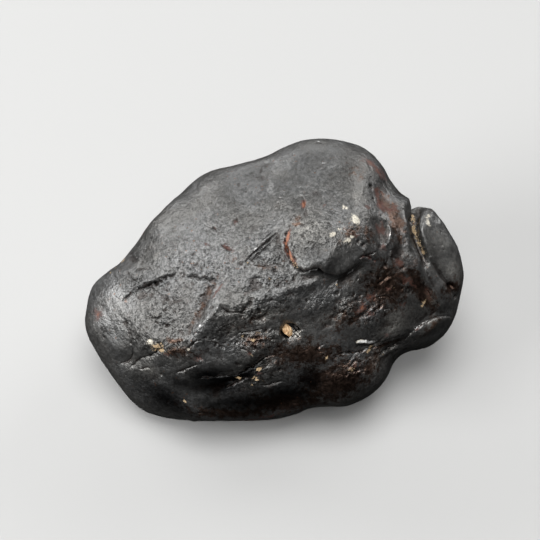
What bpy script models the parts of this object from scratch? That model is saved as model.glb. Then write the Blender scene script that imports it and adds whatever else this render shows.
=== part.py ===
"""An iron meteorite of hand size: one solid piece of metal under a dark skin, resting on a small flat.

Sizes are in millimetres, and the mesh is made in metres. The stone's face is the side with the creases
and the knob. A place on it has two numbers, (right, up) of the stone's middle, as it is seen from
FACE_DISTANCE away, in front of the stone and FACE_ELEVATION above it. A place on the other sides has
three, the direction (right, back, above) in which it lies from the middle.
"""

import math

import bmesh
import bpy
import numpy as np
from mathutils import Vector, noise

MM = 0.001
NAME = "meteorite"

# How the face is looked at.
FACE_ELEVATION = math.radians(55)
FACE_DISTANCE = 250.0

# The right, up and near directions of a look at the face.
SEEN = np.array(
    [
        (1, 0, 0),
        (0, math.sin(FACE_ELEVATION), math.cos(FACE_ELEVATION)),
        (0, -math.cos(FACE_ELEVATION), math.sin(FACE_ELEVATION)),
    ]
)

# Mesh sizes.
SPHERE_LEVELS = 8
TRIANGLES = 9200
PATH_STEP = 0.25
OUTLINE_STEPS = 24
SECTORS = 180
SOFTEN_ARC = math.radians(16)
SOFTEN_STEPS = 17
OUTLINE_ROUNDS = 4
OUTLINE_FADE = 6
HIDDEN_FARTHER = 5.0

# The outline round the face, (right, up).
OUTLINE = [
    (-27.6, -5.1), (-27.4, -2.6), (-26.5, 0.6), (-24.4, 2.7), (-22.1, 4.3), (-19.9, 7.1),
    (-17.4, 10.4), (-13.5, 14.1), (-9.7, 17.1), (-5.3, 18.3), (-1.5, 19.4), (1.6, 21.0),
    (4.6, 22.0), (7.9, 22.2), (11.8, 21.5), (14.7, 19.9), (16.8, 17.5), (17.6, 15.8),
    (19.3, 14.1), (20.8, 12.9), (22.6, 12.2), (24.4, 11.0), (26.2, 8.4),
    (27.6, 5.6), (28.3, 1.8), (27.6, -2.2), (26.6, -5.4), (25.0, -7.6), (22.8, -9.1),
    (19.9, -9.7), (18.2, -10.6), (17.4, -12.4), (16.0, -14.4), (13.7, -16.3), (10.7, -17.5),
    (7.4, -17.5), (5.4, -17.7), (3.8, -18.5), (-0.3, -19.4), (-5.4, -19.6), (-12.1, -19.7),
    (-16.5, -19.1), (-20.0, -17.4), (-23.2, -13.5), (-25.6, -10.0), (-27.1, -7.2),
]

# The broad faces that bound the stone: the way each one looks, as (right, up, near), and how far it is
# from the middle. EDGE_POWER is how sharply they meet.
BROAD_FACES = [
    ("crown", (-0.12, 0.52, 0.85), 15.0),
    ("left panel", (-0.45, 0.02, 0.89), 15.8),
    ("belly", (0.12, -0.30, 0.95), 14.2),
    ("front drop", (-0.10, -0.80, 0.60), 16.2),
    ("right cheek", (0.62, -0.02, 0.78), 18.6),
    ("left heel", (-0.62, -0.50, 0.60), 21.5),
    ("right heel", (0.42, -0.66, 0.62), 17.6),
    ("right brow", (0.50, 0.55, 0.67), 20.3),
    ("foot", (0.0, -math.cos(FACE_ELEVATION), -math.sin(FACE_ELEVATION)), 13.8),
    ("front sole", (0.0, -0.93, -0.37), 16.5),
    ("back", (0.10, 0.62, -0.78), 16.2),
    ("back left", (-0.66, 0.30, -0.69), 21.5),
    ("back right", (0.70, 0.25, -0.67), 21.0),
    ("low left", (-0.62, -0.35, -0.70), 22.0),
    ("low right", (0.60, -0.40, -0.69), 20.5),
]
EDGE_POWER = 7.0

# Swellings and hollows: (place, wide, tall, turn in degrees, height).
SWELLS = [
    ("knob", (8.6, 6.8), 5.0, 4.2, 10, 1.5),
    ("lobe", (25.4, 5.4), 3.0, 6.0, -22, 1.6),
    ("flap", (23.2, -6.4), 3.8, 2.0, 25, 1.1),
    ("low lobe", (10.6, -13.4), 5.6, 3.4, 10, 1.3),
    ("left heel swell", (-22.8, -8.6), 3.2, 3.0, 0, 0.8),
    ("low left swell", (-16.5, -14.5), 5.0, 3.4, -20, 0.4),
    ("left brow swell", (-19.5, 2.2), 4.6, 2.2, 38, 0.6),
    ("panel rim", (-8.2, -3.4), 1.7, 5.0, -32, 0.8),
    ("left panel hollow", (-15.4, -0.8), 4.6, 2.0, 14, -0.9),
    ("left panel foot", (-15.4, -6.8), 4.0, 1.6, 8, 0.5),
    ("crown hollow", (-3.6, 9.4), 5.0, 3.6, 25, -0.5),
    ("left crown dent", (-13.5, 10.8), 3.6, 2.4, 40, -0.4),
    ("crown swell", (7.5, 16.5), 6.0, 3.6, -15, 0.5),
    ("belly dent", (2.0, -4.4), 4.6, 1.8, 10, -0.3),
    ("right of the knob", (15.2, 7.6), 1.6, 2.2, 0, -0.8),
    ("rusty dent", (15.2, 12.2), 2.2, 2.0, 0, -0.55),
    ("front valley", (-5.2, -12.6), 4.8, 1.0, 14, -0.9),
    ("front valley end", (-0.8, -10.8), 2.2, 0.8, 28, -0.7),
    ("front slope", (-5.5, -15.2), 6.4, 1.8, 0, 0.6),
    ("second valley", (1.6, -14.6), 2.4, 1.1, 10, -0.7),
    ("saddle by the flap", (17.2, -8.6), 3.0, 1.3, 16, -1.1),
    ("saddle by the low lobe", (3.6, -17.2), 1.6, 3.0, 0, -0.7),
    ("red valley", (21.0, 1.0), 1.3, 3.8, -30, -0.7),
    ("cheek dent", (14.4, -0.6), 3.0, 2.4, 0, -0.4),
    ("back shoulder", (2, 8, 6), 7.0, 4.5, 15, 0.9),
    ("back thumbprint", (-3, 9, 4), 6.0, 4.2, -35, -1.7),
    ("right back thumbprint", (6, 7, 2), 4.6, 3.8, 30, -1.3),
    ("left back thumbprint", (-8, 5, 2), 5.2, 4.2, 10, -1.4),
    ("left back rib", (-6, 8, -1), 2.4, 6.0, 12, 0.9),
    ("right end thumbprint", (9, 1, -4), 3.8, 3.2, 0, -1.0),
    ("left end hollow", (-9, 0, -4), 4.2, 3.0, -15, -0.9),
    ("low back hollow", (1, 8, -6), 6.0, 3.4, 8, -1.2),
    ("low back knob", (5, 7, -6), 3.0, 2.6, 0, 1.0),
    ("crown saddle", (-2, 5, 8), 5.0, 3.0, -30, -0.6),
    ("under left hollow", (-6, -3, -7), 4.0, 3.4, 20, -0.9),
    ("under right hollow", (6, -3, -8), 3.6, 3.2, 0, -0.8),
]

# Raised lines: (path, width, height).
RIDGES = [
    (
        "long ridge",
        [(17.6, 15.4), (18.8, 12.9), (19.6, 8.9), (20.6, 5.0), (22.0, 1.6), (23.6, -1.2)],
        0.9, 0.6,
    ),
    (
        "belly brow",
        [(-12.6, -7.6), (-7.8, -4.5), (-3.8, -2.5), (0.2, -1.3), (3.4, -0.3), (5.8, 0.6)],
        1.8, 0.7,
    ),
    ("valley lip", [(-4.2, -13.9), (-2.4, -13.1), (-0.6, -12.1), (1.2, -10.9), (2.2, -9.8)], 0.7, 0.7),
    ("dent rim", [(16.2, 10.4), (17.4, 9.2), (17.5, 7.6), (16.8, 6.2), (15.6, 5.4)], 0.55, 0.5),
    ("low lobe ridge", [(16.2, -10.2), (17.6, -9.4), (19.4, -8.9)], 0.5, 0.4),
    ("heel ridge", [(-20.4, -10.4), (-18.6, -8.8), (-16.6, -7.8), (-14.2, -7.9)], 0.5, 0.35),
]

# Creases: (path, width, depth).
GROOVES = [
    (
        "lobe crevice",
        [
            (20, 17, -2), (20, 13, 4), (21.4, 12.6), (20.8, 10.8), (20.7, 9.0), (21.3, 7.0),
            (22.2, 4.8), (23.0, 2.4),
        ],
        0.75, 2.2,
    ),
    ("lobe crease", [(24.0, 3.8), (24.9, 2.2), (26.0, 0.4), (27.4, -1.8)], 0.5, 0.6),
    ("rust line", [(3.0, 10.0), (2.7, 8.6), (2.3, 7.0), (2.6, 5.2), (3.2, 3.8), (4.2, 2.9)], 0.5, 0.8),
    ("upper rust line", [(4.2, 13.8), (4.8, 12.6), (4.9, 11.2), (4.2, 9.8)], 0.4, 0.4),
    ("panel edge", [(-8.4, 1.4), (-9.4, -0.6), (-10.2, -2.8), (-11.6, -5.2), (-13.4, -7.0)], 0.8, 0.6),
    ("left small crease", [(-20.2, 3.0), (-18.6, 3.1), (-16.9, 3.5)], 0.4, 0.3),
    ("heel crease", [(-20.6, -11.4), (-19.2, -10.2), (-17.8, -9.4), (-15.8, -8.7)], 0.5, 0.7),
    ("heel edge", [(-20.0, -7.6), (-20.4, -9.4), (-21.0, -10.5), (-22.6, -11.2)], 0.5, 0.6),
    ("brown seam", [(-4.8, -7.6), (-3.2, -6.7), (-1.6, -6.3), (0.4, -6.4)], 0.5, 0.35),
    ("left low crease", [(-14.0, -12.4), (-12.6, -12.4), (-11.0, -11.7)], 0.5, 0.4),
    ("lower seam", [(9.6, -9.6), (11.2, -9.4), (12.6, -9.0), (13.8, -8.5), (15.6, -8.3)], 0.5, 0.7),
    ("notch under the dent", [(13.0, 5.6), (14.2, 4.9), (15.4, 4.9)], 0.45, 0.4),
    ("back seam", [(6, 7, 7), (4, 8, 4), (1, 9, 3), (-1, 9, 0), (-4, 9, -1)], 0.7, 0.9),
    ("right back seam", [(8, 4, 5), (8, 5, 3), (9, 5, 0), (8, 6, -2)], 0.8, 0.9),
    ("left back seam", [(-8, 3, 6), (-9, 4, 3), (-10, 3, 1), (-9, 4, -2)], 0.6, 0.7),
    ("low seam", [(-3, 9, -5), (0, 9, -6), (3, 8, -4), (6, 8, -4)], 0.7, 0.8),
    ("low left seam", [(-7, 6, -3), (-6, 6, -5), (-4, 7, -6)], 0.6, 0.6),
]

# Steps: (path, with the high side on its left, reach of the high side, height, cut).
LEDGES = [
    (
        "knob edge",
        [
            (3.4, 3.9), (4.4, 2.9), (5.5, 2.6), (6.4, 3.0), (7.4, 2.9), (9.1, 2.1), (10.4, 2.2),
            (11.6, 3.0), (13.1, 4.2), (14.2, 4.3), (15.6, 3.8),
        ],
        2.2, 0.9, 0.9,
    ),
    ("flap edge", [(26.0, -4.3), (25.0, -4.2), (23.5, -4.5), (21.7, -5.5), (20.3, -7.0)], 1.6, 0.8, 0.8),
    (
        "valley brow",
        [(-11.2, -12.6), (-8.6, -12.0), (-5.6, -11.6), (-3.0, -10.9), (-1.2, -9.8), (0.6, -9.4)],
        1.6, 0.6, 0.7,
    ),
    (
        "panel brow",
        [
            (-21.4, -1.4), (-20.1, -0.5), (-18.6, 0.35), (-17.3, 1.1), (-15.1, 1.9), (-13.5, 2.3),
            (-11.8, 1.8), (-10.0, 1.5), (-8.0, 1.7),
        ],
        1.8, 0.45, 0.6,
    ),
    (
        "cleft",
        [(-5.0, 2.6), (-3.7, 3.9), (-2.7, 5.1), (-1.4, 6.4), (0.0, 7.7), (1.2, 8.9), (2.0, 10.2)],
        1.5, 0.4, 0.7,
    ),
]

# Pits: (place, radius, depth).
PITS = [
    ("grain pit", (2.6, -6.1), 1.15, 1.5),
    ("panel pit", (-15.3, -5.6), 0.6, 0.5),
    ("lobe pit", (26.2, 0.1), 0.8, 0.6),
    ("back pit", (4, 9, -1), 1.2, 0.8),
    ("left back pit", (-7, 6, 5), 0.9, 0.7),
    ("right back pit", (8, 6, 1), 1.2, 0.9),
]

# Unevenness all over: (size, height on the face, height on the hidden sides).
UNEVENNESS = [(12.0, 0.5, 1.0), (5.5, 0.3, 0.45), (2.6, 0.1, 0.15)]

# The flat that the stone rests on is cut this far above its lowest point.
FOOT_CUT = 0.5


def between(p0, p1, p2, p3, t):
    """A smooth curve's points from p1 to p2, as t goes from 0 to 1."""
    return p1 + 0.5 * t * (p2 - p0 + t * (2 * p0 - 5 * p1 + 4 * p2 - p3 + t * (3 * p1 - p0 - 3 * p2 + p3)))


def closed_curve(corners):
    """Points along a smooth closed curve through the corners."""
    p1 = np.array(corners, float)
    t = np.linspace(0, 1, OUTLINE_STEPS, endpoint=False)[:, None, None]
    curve = between(np.roll(p1, 1, 0), p1, np.roll(p1, -1, 0), np.roll(p1, -2, 0), t)
    return curve.transpose(1, 0, 2).reshape(-1, p1.shape[1])


def open_curve(corners):
    """Points about PATH_STEP apart along a smooth curve through the corners."""
    ends = np.vstack([2 * corners[0] - corners[1], corners, 2 * corners[-1] - corners[-2]])
    made = []
    for p0, p1, p2, p3 in zip(ends, ends[1:], ends[2:], ends[3:]):
        count = max(2, int(np.linalg.norm(p2 - p1) / PATH_STEP))
        t = np.linspace(0, 1, count, endpoint=False)[:, None]
        made.append(between(p0, p1, p2, p3, t))
    return np.vstack([*made, corners[-1:]])


def outline_reach(angle, soften=0.0):
    """How far the outline is from the middle at each angle round the face, also averaged over an arc."""
    curve = closed_curve(OUTLINE)
    around = np.arctan2(curve[:, 1], curve[:, 0])
    order = np.argsort(around)
    arc = np.linspace(-soften, soften, SOFTEN_STEPS)[:, None] if soften else np.zeros((1, 1))
    return np.interp(angle + arc, around[order], np.hypot(*curve[order].T), period=2 * math.pi).mean(0)


def body_points(directions):
    """The rounded block: where each direction from the middle leaves the outline and the broad faces."""
    right, up, near = (directions @ SEEN.T).T
    sideways = np.hypot(right, up)
    nearness = (sideways / outline_reach(np.arctan2(up, right), SOFTEN_ARC)) ** EDGE_POWER
    for _, way, distance in BROAD_FACES:
        face = np.array(way) / np.linalg.norm(way)
        towards = right * face[0] + up * face[1] + near * face[2]
        nearness += (np.maximum(towards, 0) / distance) ** EDGE_POWER
    return directions / nearness[:, None] ** (1 / EDGE_POWER)


def smooth_step(value):
    value = np.clip(value, 0, 1)
    return value * value * (3 - 2 * value)


class Stone:
    """The stone's surface points, in millimetres, and the tools that shape them."""

    def __init__(self, directions, triangles):
        self.points = body_points(directions)
        self.triangles = triangles
        self.measure()

    def measure(self):
        """Works out the outward direction at each point, after the points have moved."""
        a, b, c = (self.points[self.triangles[:, i]] for i in range(3))
        facing = np.cross(b - a, c - a)
        outward = np.zeros_like(self.points)
        for corner in range(3):
            for axis in range(3):
                outward[:, axis] += np.bincount(self.triangles[:, corner], facing[:, axis], len(outward))
        self.outward = outward / np.linalg.norm(outward, axis=1)[:, None]

    def raise_by(self, height):
        self.points += self.outward * height[:, None]

    def apparent(self):
        """Where each point is seen on the face, (right, up)."""
        seen = self.points @ SEEN.T
        return seen[:, :2] * (FACE_DISTANCE / (FACE_DISTANCE - seen[:, 2]))[:, None]

    def at(self, place):
        """The number of the point at a place."""
        if len(place) == 2:
            away = np.hypot(*(self.apparent() - place).T)
            return np.argmin(away + np.where(self.outward @ SEEN[2] > 0, 0, HIDDEN_FARTHER))
        return np.argmax(self.points @ place / np.linalg.norm(self.points, axis=1))

    def fit_outline(self):
        """Spreads the stone sideways until its edge, as seen, is the outline."""
        for _ in range(OUTLINE_ROUNDS):
            apparent = self.apparent()
            angle = np.arctan2(apparent[:, 1], apparent[:, 0])
            away = np.hypot(*apparent.T)
            sector = ((angle + math.pi) / (2 * math.pi) * SECTORS).astype(int) % SECTORS
            edge = np.zeros(SECTORS)
            np.maximum.at(edge, sector, away)
            middles = (np.arange(SECTORS) + 0.5) * (2 * math.pi / SECTORS) - math.pi
            spread = outline_reach(middles) / edge
            wanted = np.interp(angle, middles, spread, period=2 * math.pi)
            share = smooth_step(away / outline_reach(angle)) ** OUTLINE_FADE
            wanted = spread.mean() + (wanted - spread.mean()) * share
            seen = self.points @ SEEN.T
            seen[:, :2] *= wanted[:, None]
            self.points = seen @ SEEN

    def swell(self, place, wide, tall, turn, height):
        """A swelling, or a hollow where the height is below zero."""
        middle, out = self.points[self.at(place)], self.outward[self.at(place)]
        across = np.cross((0, 0, 1), out)
        across /= np.linalg.norm(across)
        along = np.cross(out, across)
        cos, sin = math.cos(math.radians(turn)), math.sin(math.radians(turn))
        offset = self.points - middle
        x, y, z = offset @ across, offset @ along, offset @ out
        u, v = (x * cos + y * sin) / wide, (y * cos - x * sin) / tall
        reach = u * u + v * v + (z / max(wide, tall)) ** 2
        self.raise_by(height * np.exp(-reach))

    def pit(self, place, radius, depth):
        """A steep hole with a flat floor."""
        away = np.linalg.norm(self.points - self.points[self.at(place)], axis=1) / radius
        self.raise_by(-depth * np.exp(-(away**4)))

    def along(self, places):
        """A path over the stone through the places. For each point close to it: the nearest point of the
        path, how far that is, and the taper there."""
        numbers = dict.fromkeys(self.at(place) for place in places)
        path = open_curve(self.points[list(numbers)])
        middle, half = (path.max(0) + path.min(0)) / 2, (path.max(0) - path.min(0)) / 2 + 5
        close = np.flatnonzero((np.abs(self.points - middle) < half).all(1))
        gap = np.linalg.norm(self.points[close, None] - path[None], axis=2)
        nearest = gap.argmin(1)
        share = nearest / (len(path) - 1)
        taper = np.sin(math.pi * share) ** 0.7
        return path, close, nearest, gap.min(1), taper

    def groove(self, places, width, depth, shoulder=0.18):
        """A crease that runs out at its ends, with low swellings beside it."""
        _, close, _, gap, taper = self.along(places)
        cut = np.exp(-((gap / width) ** 1.5)) - shoulder * np.exp(-((gap / width - 2.4) ** 2))
        height = np.zeros(len(self.points))
        height[close] = -depth * taper * cut
        self.raise_by(height)

    def ledge(self, places, reach, height, cut, lip=0.4):
        """A step whose high side, on the left of its path, leans over a crack."""
        path, close, nearest, gap, taper = self.along(places)
        ahead = np.gradient(path, axis=0)[nearest]
        left = np.cross(self.outward[close], ahead)
        left /= np.maximum(np.linalg.norm(left, axis=1), 1e-6)[:, None]
        side = ((self.points[close] - path[nearest]) * left).sum(1)
        high = smooth_step((side + lip) / (2 * lip)) * np.exp(-((np.maximum(side, 0) / reach) ** 2))
        crack = np.exp(-((side + lip) ** 2) / (2 * lip) ** 2) * np.exp(-((gap / (4 * lip)) ** 2))
        close_by = np.exp(-((gap / (2.5 * reach)) ** 4)) * taper
        rise = np.zeros(len(self.points))
        rise[close] = close_by * (height * high - cut * crack)
        lean = np.zeros_like(self.points)
        lean[close] = -left * (0.6 * lip * close_by * high * np.exp(-((side / (3 * lip)) ** 2)))[:, None]
        self.raise_by(rise)
        self.points += lean

    def roughen(self):
        """Unevenness all over, fainter on the face."""
        on_face = smooth_step(0.5 + self.outward @ SEEN[2])
        for size, face_height, hidden_height in UNEVENNESS:
            wave = np.array([noise.noise(Vector(p) / size) for p in self.points])
            self.raise_by(wave * (face_height * on_face + hidden_height * (1 - on_face)))
            self.measure()


def shape(stone):
    """All of the stone's forms, the large ones first."""
    stone.roughen()
    for _, place, wide, tall, turn, height in SWELLS:
        stone.swell(place, wide, tall, turn, height)
    stone.fit_outline()
    stone.measure()
    for _, places, width, height in RIDGES:
        stone.groove(places, width, -height, shoulder=0)
    stone.measure()
    for _, places, width, depth in GROOVES:
        stone.groove(places, width, depth)
    stone.measure()
    for _, places, reach, height, cut in LEDGES:
        stone.ledge(places, reach, height, cut)
    for _, place, radius, depth in PITS:
        stone.pit(place, radius, depth)


def clear_scene():
    for thing in list(bpy.data.objects):
        bpy.data.objects.remove(thing)


def meteorite_material():
    """Dark iron under a thin brown-black skin."""
    material = bpy.data.materials.new("iron_skin")
    material.use_nodes = True
    shader = material.node_tree.nodes["Principled BSDF"]
    shader.inputs["Base Color"].default_value = (0.055, 0.054, 0.056, 1)
    shader.inputs["Metallic"].default_value = 0.6
    shader.inputs["Roughness"].default_value = 0.45
    return material


def fine_stone():
    """The meteorite as a finely divided ball, pushed into shape."""
    bpy.ops.mesh.primitive_ico_sphere_add(subdivisions=SPHERE_LEVELS, radius=1)
    thing = bpy.context.object
    thing.name = thing.data.name = NAME
    mesh = thing.data
    directions = np.empty(len(mesh.vertices) * 3)
    mesh.vertices.foreach_get("co", directions)
    directions = directions.reshape(-1, 3)
    triangles = np.empty(len(mesh.polygons) * 3, np.int32)
    mesh.loops.foreach_get("vertex_index", triangles)
    stone = Stone(directions / np.linalg.norm(directions, axis=1)[:, None], triangles.reshape(-1, 3))
    shape(stone)
    mesh.vertices.foreach_set("co", (stone.points * MM).ravel())
    mesh.update()
    return thing


def thin_out(thing):
    """Fewer triangles, most of them left where the form turns."""
    thinning = thing.modifiers.new("thinning", "DECIMATE")
    thinning.ratio = TRIANGLES / len(thing.data.polygons)
    bpy.ops.object.modifier_apply(modifier=thinning.name)


def cut_foot(thing):
    """Cuts the small flat that the stone rests on. The origin is then in it, under the middle of the box."""
    work = bmesh.new()
    work.from_mesh(thing.data)
    foot = min(v.co.z for v in work.verts) + FOOT_CUT * MM
    geometry = work.verts[:] + work.edges[:] + work.faces[:]
    bmesh.ops.bisect_plane(
        work, geom=geometry, plane_co=(0, 0, foot), plane_no=(0, 0, -1), clear_outer=True, dist=1e-7
    )
    bmesh.ops.holes_fill(work, edges=[edge for edge in work.edges if edge.is_boundary])
    low = Vector([min(v.co[i] for v in work.verts) for i in range(3)])
    high = Vector([max(v.co[i] for v in work.verts) for i in range(3)])
    middle = (low + high) / 2
    bmesh.ops.translate(work, verts=work.verts, vec=(-middle.x, -middle.y, -foot))
    work.to_mesh(thing.data)
    work.free()


def main():
    clear_scene()
    thing = fine_stone()
    thin_out(thing)
    cut_foot(thing)
    thing.data.materials.append(meteorite_material())
    thing.data.shade_smooth()
    collection = bpy.data.collections.new("iron_meteorite")
    bpy.context.scene.collection.children.link(collection)
    for old in list(thing.users_collection):
        old.objects.unlink(thing)
    collection.objects.link(thing)


if __name__ == "__main__":
    main()
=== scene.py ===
"""An iron meteorite: the fine relief and the finish of its skin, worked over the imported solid.

Lengths are in millimetres until a mesh is written, in metres. The face is the side with the knob and the
creases. A place on it has two numbers, (right, up) of the stone's middle, as the camera sees it. A place
on the other sides has three, the direction (right, back, above) in which it lies from the middle.
"""

import math

import bpy
import numpy as np
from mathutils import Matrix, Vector

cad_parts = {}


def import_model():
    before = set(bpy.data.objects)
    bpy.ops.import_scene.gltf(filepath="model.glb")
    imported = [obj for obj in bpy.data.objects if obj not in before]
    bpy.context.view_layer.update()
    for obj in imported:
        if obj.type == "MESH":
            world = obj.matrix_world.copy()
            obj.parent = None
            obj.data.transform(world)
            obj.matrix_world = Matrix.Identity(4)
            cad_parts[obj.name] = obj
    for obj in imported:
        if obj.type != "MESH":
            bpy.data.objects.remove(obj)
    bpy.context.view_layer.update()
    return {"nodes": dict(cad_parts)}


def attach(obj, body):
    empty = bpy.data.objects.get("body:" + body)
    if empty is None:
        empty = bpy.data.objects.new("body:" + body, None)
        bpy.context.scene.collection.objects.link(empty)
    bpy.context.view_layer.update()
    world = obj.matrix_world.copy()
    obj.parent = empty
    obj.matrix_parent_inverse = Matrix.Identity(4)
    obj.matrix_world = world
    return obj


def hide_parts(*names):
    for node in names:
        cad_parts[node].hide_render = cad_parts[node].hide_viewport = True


MM = 0.001
STONE = "meteorite"

# The stone's middle in the frame.
MIDDLE = np.array((-0.35, -0.31, 13.89))

# The camera looks down by ELEVATION from DISTANCE away, at the place AIM, with VIEW_WIDTH in view.
ELEVATION = math.radians(55)
DISTANCE = 250.0
AIM = np.array((-0.3, 2.65))
VIEW_WIDTH = 79.4
SENSOR = 36.0

# The right, up and near directions of the camera's look.
SEEN = np.array(
    [
        (1, 0, 0),
        (0, math.sin(ELEVATION), math.cos(ELEVATION)),
        (0, -math.cos(ELEVATION), math.sin(ELEVATION)),
    ]
)

# Points of the solid's mesh that are closer than this are one point.
MERGE = 0.0005

# The even squares that the skin is first divided into, and the number of its triangles at the end.
VOXEL = 0.62
TRIANGLES = 190000

# How far apart the points of a path are, and those of a short scattered crack.
PATH_STEP = 0.08
SHORT_STEP = 0.12

# How much farther off a point of the hidden sides counts, when a place on the face is looked up.
HIDDEN_FARTHER = 5.0

# Where the random numbers start: for the wander of the cracks, the scattered marks and the crumbs.
WANDER_SEED = 7
SCATTER_SEED = 21
CRUMB_SEED = 5


def between(p0, p1, p2, p3, t):
    """A smooth curve's points from p1 to p2, as t goes from 0 to 1."""
    return p1 + 0.5 * t * (p2 - p0 + t * (2 * p0 - 5 * p1 + 4 * p2 - p3 + t * (3 * p1 - p0 - 3 * p2 + p3)))


def open_curve(corners):
    """Points about PATH_STEP apart along a smooth curve through the corners."""
    ends = np.vstack([2 * corners[0] - corners[1], corners, 2 * corners[-1] - corners[-2]])
    made = []
    for p0, p1, p2, p3 in zip(ends, ends[1:], ends[2:], ends[3:]):
        count = max(2, int(np.linalg.norm(p2 - p1) / PATH_STEP))
        t = np.linspace(0, 1, count, endpoint=False)[:, None]
        made.append(between(p0, p1, p2, p3, t))
    return np.vstack([*made, corners[-1:]])


def smooth_step(value):
    """0 below 0, 1 above 1, and a smooth rise between."""
    value = np.clip(value, 0, 1)
    return value * value * (3 - 2 * value)


def unit(vectors):
    """The same directions, each with a length of 1."""
    return vectors / np.maximum(np.linalg.norm(vectors, axis=-1), 1e-9)[..., None]


def drifting(count, step, rng):
    """Numbers from -1 to 1 that drift along a path, with a new one every `step` points."""
    knots = rng.uniform(-1, 1, max(2, int(count / step) + 2))
    return np.interp(np.linspace(0, len(knots) - 1, count), np.arange(len(knots)), knots)


def run_out(nearest, path, power):
    """1 along a path, and 0 at its ends. A lower power makes the ends blunter."""
    return np.sin(math.pi * nearest / (len(path) - 1)).clip(0) ** power


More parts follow.
